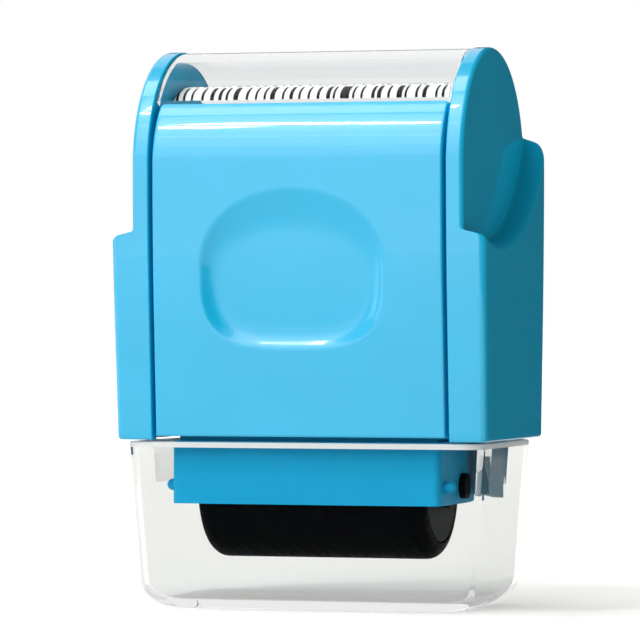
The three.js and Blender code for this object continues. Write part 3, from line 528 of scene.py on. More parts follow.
def soaked_felt(name, rgb):
    """Wool felt, pressed and soaked with ink."""
    # To the eye: a fuzzy black with a 0.5 mm nap and a faint bloom along its edge.
    material, tree = new_material(name)
    place = node(tree, "ShaderNodeTexCoord").outputs["Object"]
    fuzz = node(tree, "ShaderNodeTexNoise", {"Vector": place, "Scale": 1 / (0.5 * MM), "Detail": 6.0})
    body = node(
        tree,
        "ShaderNodeMix",
        {0: fuzz, 6: rgba(scaled(rgb, 0.3)), 7: rgba(scaled(rgb, 2.4))},
        data_type="RGBA",
    )
    bump = node(tree, "ShaderNodeBump", {"Height": fuzz, "Strength": 0.8, "Distance": 0.2 * MM})
    shader = node(
        tree,
        "ShaderNodeBsdfPrincipled",
        {"Base Color": body, "Roughness": 0.9, "Normal": bump, "Sheen Weight": 0.2},
    )
    node(tree, "ShaderNodeOutputMaterial", {"Surface": shader})
    return material


def satin_acetal(name, rgb):
    """Acetal, injection moulded and run in."""
    # To the eye: a waxy near-black satin, with the rings that running leaves. The real rings are
    # 0.2 mm apart, and they are drawn at 1.2 mm, as coarse as they need to show. The IOR is matched
    # below acetal's 1.48, because ink and wear dull the pins.
    material, tree = new_material(name)
    place = node(tree, "ShaderNodeTexCoord").outputs["Object"]
    rings = node(
        tree,
        "ShaderNodeTexWave",
        {"Vector": place, "Scale": 1 / (1.2 * MM) / 20, "Distortion": 0.4},
        bands_direction="X",
    )
    cloud = node(tree, "ShaderNodeTexNoise", {"Vector": place, "Scale": 1 / (4 * MM), "Detail": 3.0})
    body = node(
        tree,
        "ShaderNodeMix",
        {0: cloud, 6: rgba(scaled(rgb, 0.7)), 7: rgba(scaled(rgb, 1.4))},
        data_type="RGBA",
    )
    bump = node(
        tree, "ShaderNodeBump", {"Height": rings.outputs["Fac"], "Strength": 0.08, "Distance": 0.02 * MM}
    )
    shader = node(
        tree,
        "ShaderNodeBsdfPrincipled",
        {"Base Color": body, "Roughness": 0.38, "Normal": bump, "IOR": 1.07},
    )
    node(tree, "ShaderNodeOutputMaterial", {"Surface": shader})
    return material


def plated_steel(name, rgb):
    """Mild steel, turned or stamped and zinc plated."""
    # To the eye: a bright cool metal whose gloss changes over 0.4 mm spangles.
    material, tree = new_material(name)
    place = node(tree, "ShaderNodeTexCoord").outputs["Object"]
    spangle = node(tree, "ShaderNodeTexNoise", {"Vector": place, "Scale": 1 / (0.4 * MM), "Detail": 4.0})
    tone = node(
        tree, "ShaderNodeMix", {0: spangle, 6: rgba(scaled(rgb, 0.75)), 7: rgba(rgb)}, data_type="RGBA"
    )
    gloss = node(tree, "ShaderNodeMapRange", {"Value": spangle, "To Min": 0.2, "To Max": 0.42})
    shader = node(
        tree, "ShaderNodeBsdfPrincipled", {"Base Color": tone, "Roughness": gloss, "Metallic": 1.0}
    )
    node(tree, "ShaderNodeOutputMaterial", {"Surface": shader})
    return material


MATERIALS = {}


def make_materials():
    """Fills the list of finishes: blue ABS has a colour, roughness, coat, coat roughness and IOR, and
    clear acrylic a tint, an IOR and the share of the tint that a straight ray gets."""
    c = colours()
    shell, yoke, acrylic = tuple(c.shell), tuple(c.yoke), tuple(c.acrylic)
    made = {
        "shell": blue_abs("polished_blue_abs", shell, 0.3, 0.7, 0.03, 1.54),
        "shell_inside": blue_abs("unpolished_blue_abs", shell, 0.4, 0.0, 0.03, 1.15),
        # The scoop's blue, darkened to 0.72 of the shell's, is painted shade in the hollow; only its roughness
        # is the matte tool's
        "scoop": blue_abs("matte_shaded_blue_abs", scaled(shell, 0.72), 0.5, 0.0, 0.03, 1.15),
        "recess": blue_abs("satin_blue_abs", shell, 0.3, 0.6, 0.08, 1.54),
        "yoke": blue_abs("yoke_blue_abs", yoke, 0.4, 0.0, 0.03, 1.15),
        "inner": inner_abs("grained_blue_abs", tuple(c.inner)),
        "cap": clear_acrylic("clear_acrylic", acrylic, 1.04, 0.95),
        "window": clear_acrylic("clear_acrylic_window", scaled(acrylic, 1.08), 1.1, 0.95),
        "tongues": clear_acrylic("clear_acrylic_tongue", linear(TONGUE_TINT), 1.04, 0.98),
        # A tint lighter than the cap's, on a frosted band, is a painted highlight along the rim
        "cap_rim": highlight_frosted_acrylic("frosted_acrylic_rim", scaled(acrylic, 1.1)),
        "saddle": white_polystyrene("white_polystyrene", tuple(c.carrier)),
        "film": printed_film("printed_polyester_film", tuple(c.film), tuple(c.print_ink)),
        "rubber": inked_rubber("inked_nitrile_rubber", tuple(c.rubber)),
        "felt": soaked_felt("ink_soaked_felt", tuple(c.felt)),
        "acetal": satin_acetal("black_acetal", tuple(c.dark_moulding)),
        "steel": plated_steel("zinc_plated_steel", tuple(c.steel)),
    }
    MATERIALS.update(made)


def finish(part):
    """The material of a part of the stamp."""
    if not MATERIALS:
        make_materials()
    return MATERIALS[part]


# Meshes
def quads_between(first, second, closed):
    """Faces between two rows of vertex numbers."""
    count = len(first)
    last = count if closed else count - 1
    return [
        (first[i], first[(i + 1) % count], second[(i + 1) % count], second[i]) for i in range(last)
    ]


class Skin:
    """Collects points and faces of one mesh."""

    def __init__(self):
        self.points = []
        self.faces = []

    def row(self, points):
        """Adds a row of points and gives their numbers."""
        start = len(self.points)
        self.points.extend(points)
        return list(range(start, start + len(points)))

    def join(self, rows, closed=False):
        """Spans faces between each row and the next."""
        for first, second in zip(rows, rows[1:]):
            self.faces.extend(quads_between(first, second, closed))

    def face(self, ring):
        """Adds one face round the given points."""
        self.faces.append(tuple(ring))

    def tube(self, rows):
        """Joins closed rows, and shuts both ends."""
        self.join(rows, closed=True)
        self.face(reversed(rows[0]))
        self.face(rows[-1])

    def add(self, other):
        """Takes over the points and faces of another skin."""
        first = len(self.points)
        self.points.extend(other.points)
        self.faces.extend(tuple(first + i for i in face) for face in other.faces)

    def mirrored(self):
        """The same skin on the stamp's other side."""
        other = Skin()
        other.points = [(-x, y, z) for x, y, z in self.points]
        other.faces = [tuple(reversed(f)) for f in self.faces]
        return other


def new_piece(name, skin, material, body, replaced):
    """A smooth-shaded piece that rides on a body, takes the given finish and stands for a node."""
    mesh = bpy.data.meshes.new(name)
    mesh.from_pydata(skin.points, [], skin.faces)
    cleaner = bmesh.new()
    cleaner.from_mesh(mesh)
    bmesh.ops.remove_doubles(cleaner, verts=cleaner.verts, dist=MERGE_DISTANCE)
    bmesh.ops.recalc_face_normals(cleaner, faces=cleaner.faces)
    cleaner.to_mesh(mesh)
    cleaner.free()
    mesh.polygons.foreach_set("use_smooth", [True] * len(mesh.polygons))
    mesh.set_sharp_from_angle(angle=SHARP_ANGLE)
    mesh.materials.append(material)
    piece = bpy.data.objects.new(name, mesh)
    bpy.context.scene.collection.objects.link(piece)
    weighted = piece.modifiers.new("weighted_normals", "WEIGHTED_NORMAL")
    weighted.keep_sharp = True
    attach(piece, body)
    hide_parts(replaced)
    return piece


def quarter(steps):
    """The angles of a quarter turn in even steps, both ends included."""
    return [math.radians(90 * i / steps) for i in range(steps + 1)]


def arc(centre, radius, start, end, steps):
    """Points of an arc in a plane, angles in degrees, both ends included."""
    points = []
    for i in range(steps + 1):
        angle = math.radians(start + (end - start) * i / steps)
        points.append((centre[0] + radius * math.cos(angle), centre[1] + radius * math.sin(angle)))
    return points


def round_corner(before, corner, after, radius, steps):
    """An arc of the given radius in place of a corner of a plane outline."""
    a = (Vector(before) - Vector(corner)).normalized()
    b = (Vector(after) - Vector(corner)).normalized()
    half = a.angle(b) / 2
    run = radius / math.tan(half)
    centre = Vector(corner) + (a + b).normalized() * (radius / math.sin(half))
    start = Vector(corner) + a * run - centre
    turn = math.pi - 2 * half
    sense = 1 if a.x * b.y - a.y * b.x < 0 else -1
    points = []
    for i in range(steps + 1):
        angle = sense * turn * i / steps
        c, s = math.cos(angle), math.sin(angle)
        points.append((centre.x + start.x * c - start.y * s, centre.y + start.x * s + start.y * c))
    return points


# The housing's side outline
def lean_share(z):
    """1 at the housing's foot, 0 where it runs straight, with a soft start."""
    top, soft = ARCH_Z - sizes().lean_drop, sizes().lean_soft
    drop = top - z
    if abs(drop) < soft:
        drop = (drop + soft) ** 2 / (4 * soft)
    return min(1.0, max(0.0, drop / (top - HOUSING_Z)))


def front_y(z, inset=0.0):
    """The housing's front at a height, less an inset."""
    if z > ARCH_Z:
        return -math.sqrt(max(0.0, (ARCH_RADIUS - inset) ** 2 - (z - ARCH_Z) ** 2))
    return sizes().front_lean * lean_share(z) - ARCH_RADIUS + inset


def back_y(z, inset=0.0):
    """The housing's back at a height, less an inset."""
    if z > ARCH_Z:
        return math.sqrt(max(0.0, (ARCH_RADIUS - inset) ** 2 - (z - ARCH_Z) ** 2))
    return ARCH_RADIUS - sizes().back_lean * lean_share(z) - inset


def flank_x(z):
    """The right flank's face at a height."""
    return FLANK_X - sizes().side_lean * lean_share(z)


def edge_profile(outer_x):
    """The cheek's edge seen along its rim: (inset, x) from the inner edge to the outer face."""
    s = sizes()
    inner = [
        (s.inner_round * (1 - math.sin(a)), EAR_INNER_X + s.inner_round * (1 - math.cos(a)))
        for a in quarter(3)
    ]
    rounding = s.rim_round if outer_x > FLANK_X - s.rim_round else s.ear_round
    outer = [
        (rounding * (1 - math.cos(a)), outer_x - rounding * (1 - math.sin(a)))
        for a in quarter(7)
    ]
    return inner + outer


def scoop_profile():
    """The finger scoop's wall: (distance from its axis, x) from the flank's face to the ear's."""
    s = sizes()
    ear_x = EAR_INNER_X + s.ear_thickness
    mouth = (s.scoop_radius + s.scoop_flare, FLANK_X)
    foot = (s.scoop_radius, ear_x + s.scoop_fillet)
    lip = round_corner((mouth[0] + s.scoop_radius, FLANK_X), mouth, foot, s.scoop_lip, 5)
    fillet = arc((s.scoop_radius - s.scoop_fillet, ear_x + s.scoop_fillet), s.scoop_fillet, 0, -90, 6)
    # The wall's first and last points lie on the flank and on the ear, just past the rounded edges
    above, below = mouth[0] + 1.2 * s.scoop_lip, s.scoop_radius - 1.3 * s.scoop_lip
    return [(above, FLANK_X), *lip, *fillet, (below, ear_x)]


def outline_inset(y, z):
    """How far inside the side outline a point lies, at its nearer edge."""
    if z > ARCH_Z:
        return ARCH_RADIUS - math.hypot(y, z - ARCH_Z)
    return min(y - front_y(z), back_y(z) - y)


def scoop_point(distance, angle):
    """A point at a distance from the scoop's axis; the angle is 0 straight down and grows backwards."""
    s = sizes()
    centre_z = ARCH_Z - s.scoop_drop + s.scoop_radius
    return (
        -s.scoop_setback + distance * math.sin(angle),
        centre_z - distance * math.cos(angle),
    )


def scoop_end_angle(distance, inset, side):
    """The angle at which the scoop's wall reaches a given inset from the front (-1) or back (1) edge."""
    low, high = 0.0, side * SCOOP_END_LIMIT
    for _ in range(SCOOP_SEARCH_STEPS):
        middle = (low + high) / 2
        if outline_inset(*scoop_point(distance, middle)) > inset:
            low = middle
        else:
            high = middle
    return low


def scoop_row(distance, outer_x):
    """One closed row round the cheek where the scoop's wall lies: edge, face and edge."""
    profile = edge_profile(outer_x)
    row = []
    for inset, x in profile:
        y, z = scoop_point(distance, scoop_end_angle(distance, inset, -1))
        row.append((x, y, z))
    first = scoop_end_angle(distance, profile[-1][0], -1)
    last = scoop_end_angle(distance, profile[-1][0], 1)
    for i in range(1, SCOOP_COLUMNS):
        y, z = scoop_point(distance, first + (last - first) * i / SCOOP_COLUMNS)
        row.append((outer_x, y, z))
    for inset, x in reversed(profile):
        y, z = scoop_point(distance, scoop_end_angle(distance, inset, 1))
        row.append((x, y, z))
    return row


def flank_row(top_row, share, bottom_inset):
    """A row below the scoop, a share of the way from the foot up to the given row."""
    count = len(edge_profile(FLANK_X))
    row = []
    for i, (_, top_y, top_z) in enumerate(top_row):
        z = HOUSING_Z + (top_z - HOUSING_Z) * share
        profile = edge_profile(flank_x(z) - bottom_inset)
        front = i < count
        back = i >= len(top_row) - count
        if front or back:
            inset, x = profile[i] if front else profile[len(top_row) - 1 - i]
            y = front_y(z, inset + bottom_inset) if front else back_y(z, inset + bottom_inset)
        else:
            round_inset = profile[-1][0]
            across = (top_y - front_y(top_z, round_inset)) / (
                back_y(top_z, round_inset) - front_y(top_z, round_inset)
            )
            low_y = front_y(z, round_inset + bottom_inset)
            high_y = back_y(z, round_inset + bottom_inset)
            x, y = flank_x(z) - bottom_inset, low_y + (high_y - low_y) * across
        row.append((x, y, z))
    return row


def cheek_skin():
    """The right cheek: a round ear with a proud flank below it, hollow from its foot."""
    s = sizes()
    skin = Skin()
    band = [scoop_row(distance, x) for distance, x in scoop_profile()]
    # Shares of the way up from the foot, each with how far its row is drawn in
    levels = [(0.0, s.foot_round), (0.003, 0.45 * s.foot_round), (0.012, 0.0)]
    levels += [(0.05 + 0.9 * i / FLANK_ROWS, 0.0) for i in range(FLANK_ROWS + 1)]
    flank = [flank_row(band[0], share, inset) for share, inset in levels]
    rows = [skin.row(points) for points in flank + band]
    skin.join(rows)
    count = len(edge_profile(FLANK_X))
    ear_profile = edge_profile(EAR_INNER_X + s.ear_thickness)
    last = rows[-1]
    start_z = skin.points[last[0]][2]
    back_angle = math.degrees(math.asin((skin.points[last[-1]][2] - ARCH_Z) / ARCH_RADIUS))
    stations = [last[:count]]
    for i in range(1, EAR_FOOT_ROWS + 1):
        z = start_z + (ARCH_Z - start_z) * i / EAR_FOOT_ROWS
        stations.append(skin.row([(x, front_y(z, inset), z) for inset, x in ear_profile]))
    for i in range(1, EAR_STEPS):
        angle = math.radians(180 - (180 - back_angle) * i / EAR_STEPS)
        stations.append(skin.row([
            (x, (ARCH_RADIUS - inset) * math.cos(angle), ARCH_Z + (ARCH_RADIUS - inset) * math.sin(angle))
            for inset, x in ear_profile
        ]))
    stations.append(list(reversed(last[-count:])))
    skin.join(stations)
    skin.face(last[count - 1 : len(last) - count + 1] + [r[-1] for r in reversed(stations[1:-1])])
    rim = [r[0] for r in rows] + [r[0] for r in stations[1:-1]] + [r[-1] for r in reversed(rows)]
    pocket_z = ARCH_Z - s.scoop_drop - s.pocket_drop
    wall = s.flank_wall
    corners = []
    for z in (HOUSING_Z, pocket_z):
        corners.append([
            (EAR_INNER_X, front_y(z, wall), z), (flank_x(z) - wall, front_y(z, wall), z),
            (flank_x(z) - wall, back_y(z, wall), z), (EAR_INNER_X, back_y(z, wall), z),
        ])
    low, high = skin.row(corners[0]), skin.row(corners[1])
    skin.join([low, high])
    skin.face(high)
    skin.face(rim + [low[3], high[3], high[0], low[0]])
    skin.face(rows[0] + [low[3], low[2], low[1], low[0]])
    return skin


def cover_outline(side, inset=0.0):
    """A cover's outline from its foot up, as (y, z, outward y, outward z); side is -1 in front, 1 behind."""
    s = sizes()
    foot, top = FRONT_LOW.z, FRONT_HIGH.z
    lean_top = ARCH_Z - s.lean_drop
    lean = s.front_lean if side < 0 else s.back_lean
    edge_y = front_y if side < 0 else back_y
    tilt = math.atan2(lean, lean_top - HOUSING_Z)
    near_foot = [s.cover_round * share for share in (0.0, 0.05, 0.15, 0.35, 0.6, 1.0)]
    stations = []
    leaning = [foot + (lean_top - foot) * i / LEAN_ROWS for i in range(1, LEAN_ROWS)]
    for z in [foot + rise for rise in near_foot] + leaning:
        out_y, out_z = side * math.cos(tilt), -math.sin(tilt)
        stations.append((edge_y(z) - out_y * inset, z, out_y, out_z))
    for i in range(UPRIGHT_ROWS + 1):
        z = lean_top + (ARCH_Z - lean_top) * i / UPRIGHT_ROWS
        stations.append((edge_y(z) - side * inset, z, side, 0.0))
    radius = s.cover_top_radius - inset
    centre_y = side * (ARCH_RADIUS - s.cover_top_radius)
    end = math.asin((top - ARCH_Z) / radius)
    near_end = [end - run / radius for run in reversed(near_foot)]
    for angle in [end * i / COVER_TOP_ROWS for i in range(1, COVER_TOP_ROWS - 1)] + near_end:
        y, z = side * math.cos(angle), math.sin(angle)
        stations.append((centre_y + radius * y, ARCH_Z + radius * z, y, z))
    return stations


def recess_depth(x, z):
    """Depth of the thumb recess, a dish with a soft edge, at a point of the front cover."""
    s = sizes()
    middle = ARCH_Z - s.recess_drop - s.recess_height / 2
    power = s.recess_top_fullness if z > middle else s.recess_bottom_fullness
    half_width, half_height = s.recess_width / 2, s.recess_height / 2
    across, along = abs(x + s.recess_shift) / half_width, abs(z - middle) / half_height
    if max(across, along) > 1.2:
        return 0.0
    # 1 on the outline and 0 in the middle, where the floor is flat
    reach = (across**power + along**power) ** (1 / power)
    if reach < 0.2:
        return s.recess_depth
    steepness = math.hypot(
        (across / reach) ** (power - 1) / half_width, (along / reach) ** (power - 1) / half_height
    )
    inside = (1 - reach) / steepness
    soft = s.recess_lip
    if inside < soft:
        inside = max(0.0, inside + soft) ** 2 / (4 * soft)
    # The wall is long and gentle at the top and shorter at the bottom, where a fingertip stops
    rise = (z - middle) / half_height
    wall = s.recess_wall * (0.85 + 3.2 * max(0.0, rise) ** 2 - 0.1 * max(0.0, -rise))
    share = max(0.0, 1 - inside / wall)
    return s.recess_depth * (1 - share**4)


def edge_share(distance, radius):
    """How far a rounded edge has fallen at a distance from it, as a length."""
    if distance >= radius:
        return 0.0
    return radius - math.sqrt(max(0.0, radius**2 - (radius - distance) ** 2))


def fine_columns(half_width, edge, count):
    """Places across a cover: close together at its edges, even between."""
    near = [edge * (1 - math.cos(a)) for a in quarter(5)]
    middle = [edge + (2 * half_width - 2 * edge) * i / count for i in range(1, count)]
    return [-half_width + d for d in near + middle] + [half_width - d for d in reversed(near)]


def cover_skin(side, with_recess):
    """A cover: its outside, its inside and its edges. side is -1 for the front and 1 for the back."""
    s = sizes()
    half = FRONT_HIGH.x
    edge = s.cover_round
    columns = fine_columns(half, edge, COVER_COLUMNS)
    outside = cover_outline(side)
    inside = cover_outline(side, s.cover_thickness)
    lengths = [0.0]
    for (y0, z0, _, _), (y1, z1, _, _) in zip(outside, outside[1:]):
        lengths.append(lengths[-1] + math.hypot(y1 - y0, z1 - z0))
    skin = Skin()
    rows, inner_rows = [], []
    for outer, inner, run in zip(outside, inside, lengths):
        from_top = lengths[-1] - run
        end_fall = edge_share(min(run, from_top), edge)
        narrowing = 1 - edge_share(from_top, s.cover_corner) / half
        row, inner_row = [], []
        for x in columns:
            dip = recess_depth(x, outer[1]) if with_recess else 0.0
            sink = max(edge_share(half - abs(x), edge), end_fall) + dip
            row.append((x * narrowing, outer[0] - outer[2] * sink, outer[1] - outer[3] * sink))
            inner_row.append((x * narrowing, inner[0] - inner[2] * dip, inner[1] - inner[3] * dip))
        rows.append(skin.row(row))
        inner_rows.append(skin.row(inner_row))
    skin.join(rows)
    skin.join([list(reversed(r)) for r in inner_rows])
    skin.join([rows[0], inner_rows[0]])
    skin.join([inner_rows[-1], rows[-1]])
    skin.join([[r[0] for r in inner_rows], [r[0] for r in rows]])
    skin.join([[r[-1] for r in rows], [r[-1] for r in inner_rows]])
    return skin


def add_ledge(skin, side):
    """The thin ledge of the right cheek behind a cover's edge, which shuts the gap beside the cover."""
    s = sizes()
    near = cover_outline(side, s.ledge_setback)
    far = cover_outline(side, s.ledge_setback + s.ledge_thickness)
    x0, x1 = EAR_INNER_X - s.ledge_reach, EAR_INNER_X + 0.5 * s.ear_thickness
    rows = []
    for (y0, z0, _, _), (y1, z1, _, _) in zip(near, far):
        z0, z1 = min(z0, FRONT_HIGH.z - s.part_gap), min(z1, FRONT_HIGH.z - s.part_gap)
        rows.append(skin.row([(x0, y0, z0), (x1, y0, z0), (x1, y1, z1), (x0, y1, z1)]))
    skin.tube(rows)


def add_boss(skin, screw):
    """The hollow boss of the right cheek that a frame screw goes into."""
    s = sizes()
    low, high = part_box(screw)
    middle_y, middle_z = (low.y + high.y) / 2, (low.z + high.z) / 2
    hole = s.boss_radius - s.boss_wall
    start, end = s.sleeve_half_width + s.part_gap, flank_x(middle_z) - s.flank_wall / 2
    profile = [
        (hole, start), (s.boss_radius - s.part_gap, start), (s.boss_radius, start + s.part_gap),
        (s.boss_radius, end), (hole, end), (hole, start),
    ]
    skin.add(turned_skin(profile, middle_y, middle_z, BOSS_SIDES))


def arch_skin(low_corner, high_corner, thickness, edge):
    """A band bent over the top: an arc above the round top's middle, with straight legs if it starts
    lower. It fills the box of its node."""
    outer_radius, half_width, start_z = high_corner.z - ARCH_Z, high_corner.x, low_corner.z
    low = max(start_z, ARCH_Z)
    end = math.asin((low - ARCH_Z) / outer_radius)
    leg = min(0.0, start_z - ARCH_Z)
    drops = [leg * i / LEG_ROWS for i in range(LEG_ROWS, 0, -1)] if leg else []
    stations = [(-1.0, 0.0, drop) for drop in drops]
    for i in range(ARCH_STEPS + 1):
        angle = math.pi - end - (math.pi - 2 * end) * i / ARCH_STEPS
        stations.append((math.cos(angle), math.sin(angle), 0.0))
    stations += [(1.0, 0.0, drop) for drop in reversed(drops)]
    inner = outer_radius - thickness
    rounded = [
        (outer_radius - edge * (1 - math.sin(a)), half_width - edge * (1 - math.cos(a))) for a in quarter(3)
    ]
    section = [(inner, half_width - edge * 0.3), *rounded]
    section += [(r, -x) for r, x in reversed(section)]
    skin = Skin()
    rows = []
    for out_y, out_z, drop in stations:
        rows.append(skin.row([(x, r * out_y, ARCH_Z + r * out_z + drop) for r, x in section]))
    skin.tube(rows)
    return skin


def rounded_ring(z, half_width, front, back, radius, steps):
    """A level rectangle with round corners, counter-clockwise from above."""
    ring = []
    corners = [
        (half_width - radius, back - radius, 0), (radius - half_width, back - radius, 90),
        (radius - half_width, front + radius, 180), (half_width - radius, front + radius, 270),
    ]
    for x, y, start in corners:
        ring += [(px, py, z) for px, py in arc((x, y), radius, start, start + 90, steps)]
    return ring


def turned_skin(profile, centre_y, centre_z, sides):
    """A turned shape round an axis along X, from the (radius, x) points of its whole section."""
    turns = [2 * math.pi * i / sides for i in range(sides)]
    skin = Skin()
    rows = [
        skin.row([(x, centre_y + r * math.cos(a), centre_z + r * math.sin(a)) for a in turns])
        for r, x in profile
    ]
    skin.join(rows, closed=True)
    return skin


def cap_skin():
    """The clear cup, from the middle of its floor outside to the middle of its floor inside."""
    s = sizes()
    rim_z = HOUSING_Z - s.part_gap
    half_rim = flank_x(HOUSING_Z) - s.cap_side_gap
    front_rim = front_y(HOUSING_Z) + s.cap_front_gap
    back_rim = back_y(HOUSING_Z) - s.cap_back_gap
    rim_round, floor, wall = s.cap_rim_round, s.cap_floor, s.cap_wall
    corner, bottom = s.cap_corner, s.cap_bottom_round
    inner_corner, inner_bottom = corner - wall, bottom - wall

    def ring(z, inset, radius):
        share = (rim_z - z) / rim_z
        return rounded_ring(
            z, half_rim - s.cap_side_lean * share - inset, front_rim + s.cap_front_lean * share + inset,
            back_rim - s.cap_back_lean * share - inset, radius, CORNER_STEPS,
        )

    skin = Skin()
    rows = []
    for angle in quarter(CAP_EDGE_STEPS):
        rows.append(skin.row(ring(bottom * (1 - math.cos(angle)), bottom * (1 - math.sin(angle)), corner)))
    band = (rim_z - s.cap_frost_highlight, rim_z - rim_round)
    wall_rows = [bottom + (band[0] - bottom) * i / CAP_WALL_ROWS for i in range(1, CAP_WALL_ROWS + 1)]
    for z in wall_rows + [band[1]]:
        rows.append(skin.row(ring(z, 0.0, corner)))
    for angle in quarter(3)[1:]:
        inset = rim_round * (1 - math.cos(angle))
        z = rim_z - rim_round * (1 - math.sin(angle))
        rows.append(skin.row(ring(z, inset, corner - inset)))
    for angle in reversed(quarter(3)):
        inset = wall - rim_round * (1 - math.cos(angle))
        z = rim_z - rim_round * (1 - math.sin(angle))
        rows.append(skin.row(ring(z, inset, corner - inset)))
    for i in range(CAP_WALL_ROWS):
        z = band[0] + (floor + inner_bottom - band[0]) * i / CAP_WALL_ROWS
        rows.append(skin.row(ring(z, wall, inner_corner)))
    for angle in reversed(quarter(CAP_EDGE_STEPS)):
        z = floor + inner_bottom * (1 - math.cos(angle))
        rows.append(skin.row(ring(z, wall + inner_bottom * (1 - math.sin(angle)), inner_corner)))
    skin.tube(rows)
    return skin


def tongue_skin():
    """The right spring tongue: its root thickens the cap's wall, and it grips the flank from inside."""
    s = sizes()
    rim_z = HOUSING_Z - s.part_gap
    outer = flank_x(HOUSING_Z) - s.flank_wall - s.part_gap
    inner = outer - s.tongue_thickness
    tip = s.tongue_thickness / 3
    wall_x = flank_x(HOUSING_Z) - s.cap_side_gap - s.cap_wall - HAIRLINE
    full = 0.6 * s.tongue_root
    # Each level has its drop below the rim, its outer x and how full the section is
    levels = [
        (s.tongue_root, wall_x - s.cap_side_lean * s.tongue_root / rim_z, 0.0),
        (full, wall_x - s.cap_side_lean * full / rim_z, 1.0),
        (s.part_gap, wall_x, 1.0),
        (-s.part_gap, outer, 1.0),
        (tip - s.tongue_rise, outer, 1.0),
        (-s.tongue_rise, outer - tip, 0.6),
    ]
    skin = Skin()
    rows = []
    for drop, x1, fullness in levels:
        x0 = inner + (x1 - inner) * (1 - fullness) * 0.95
        half = s.tongue_width / 2
        rows.append(skin.row([
            (x0, ROLLER_Y - half, rim_z - drop), (x1, ROLLER_Y - half, rim_z - drop),
            (x1, ROLLER_Y + half, rim_z - drop), (x0, ROLLER_Y + half, rim_z - drop),
        ]))
    skin.tube(rows)
    return skin


def roller_skin():
    """The rubber sleeve of the pattern roller, with round ends."""
    s = sizes()
    outer, half, end = (SLEEVE_HIGH.z - SLEEVE_LOW.z) / 2, SLEEVE_HIGH.x, s.roller_round
    inner = outer - s.roller_wall
    profile = [(inner, -half)]
    profile += [(outer - end + end * math.sin(a), -half + end * (1 - math.cos(a))) for a in quarter(10)]
    profile += [(r, -x) for r, x in reversed(profile)]
    profile.append(profile[0])
    return turned_skin(profile, ROLLER_Y, ROLLER_Z, ROLLER_SIDES)


def paint(piece, material, chosen):
    """Gives the chosen faces of a piece another material."""
    piece.data.materials.append(material)
    for face in piece.data.polygons:
        if chosen(face):
            face.material_index = len(piece.data.materials) - 1


def in_recess(face):
    """Whether a face of the front cover is in its thumb recess, where the tool has a satin finish."""
    s = sizes()
    depth = recess_depth(face.center.x, face.center.z)
    outside = face.center.y < front_y(face.center.z, s.cover_thickness)
    return outside and depth > 0.02 * s.recess_depth


def inward(face):
    """Whether a face of a cheek looks inwards, where the tool isn't polished."""
    return face.normal.x * face.center.x < -0.5 * abs(face.center.x)


def in_scoop(face):
    """Whether a face of a cheek is on its finger scoop's wall, matte from the tool and darkened as painted
    shade.
    """
    s = sizes()
    out = abs(face.center.x)
    axis_z = ARCH_Z - s.scoop_drop + s.scoop_radius
    distance = math.hypot(face.center.y + s.scoop_setback, face.center.z - axis_z)
    in_wall = abs(distance - s.scoop_radius) < 2 * s.scoop_lip
    foot_x, mouth_x = EAR_INNER_X + s.ear_thickness + 0.1 * s.scoop_lip, FLANK_X - 0.02 * s.scoop_lip
    behind_rim = face.center.y > 2 * s.rim_round - ARCH_RADIUS
    return in_wall and behind_rim and foot_x < out < mouth_x


def dress(name, material, bevel=0.0):
    """Gives a node of the solids its finish, and breaks its sharp edges as moulding or machining does."""
    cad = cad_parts[name]
    cad.data.materials.clear()
    cad.data.materials.append(material)
    cad.data.polygons.foreach_set("use_smooth", [True] * len(cad.data.polygons))
    if bevel:
        flat = cad.modifiers.new("merge_flat_faces", "DECIMATE")
        flat.decimate_type = "DISSOLVE"
        flat.angle_limit = FLAT_ANGLE
        edges = cad.modifiers.new("broken_edges", "BEVEL")
        edges.width = bevel
        edges.segments = 2
        edges.limit_method = "ANGLE"
        edges.angle_limit = BROKEN_ANGLE
        edges.harden_normals = True
    else:
        cad.data.set_sharp_from_angle(angle=FACET_ANGLE)
    weighted = cad.modifiers.new("weighted_normals", "WEIGHTED_NORMAL")
    weighted.keep_sharp = True


# Operators
class STAMP_OT_cheeks(bpy.types.Operator):
    """Adds both cheeks: round ears, proud flanks with a finger scoop, and the ledges behind the covers."""

    bl_idname = "stamp.cheeks"
    bl_label = "Cheeks"

    def execute(self, context):
        right = cheek_skin()
        for side in (-1, 1):
            add_ledge(right, side)
        for screw in ("right_front_screw", "right_rear_screw"):
            add_boss(right, screw)
        for name, skin in (("right_cheek", right), ("left_cheek", right.mirrored())):
            cheek = new_piece(name + "_shell", skin, finish("shell"), "housing", name)
            paint(cheek, finish("shell_inside"), inward)
            # The scoop's wall takes the darker blue, which is painted shade
            paint(cheek, finish("scoop"), in_scoop)
        return {"FINISHED"}


class STAMP_OT_covers(bpy.types.Operator):
    """Adds the front cover with its thumb recess and the plain rear cover."""

    bl_idname = "stamp.covers"
    bl_label = "Covers"

    def execute(self, context):
        front = new_piece(
            "front_cover_shell", cover_skin(-1, True), finish("shell"), "housing", "front_cover"
        )
        paint(front, finish("recess"), in_recess)
        new_piece("rear_cover_shell", cover_skin(1, False), finish("shell"), "housing", "rear_cover")
        return {"FINISHED"}


class STAMP_OT_window(bpy.types.Operator):
    """Adds the clear window bent over the top."""

    bl_idname = "stamp.window"
    bl_label = "Window"

    def execute(self, context):
        s = sizes()
        skin = arch_skin(WINDOW_LOW, WINDOW_HIGH, s.window_thickness, s.window_round)
        new_piece("window_shell", skin, finish("window"), "housing", "top_window")
        return {"FINISHED"}


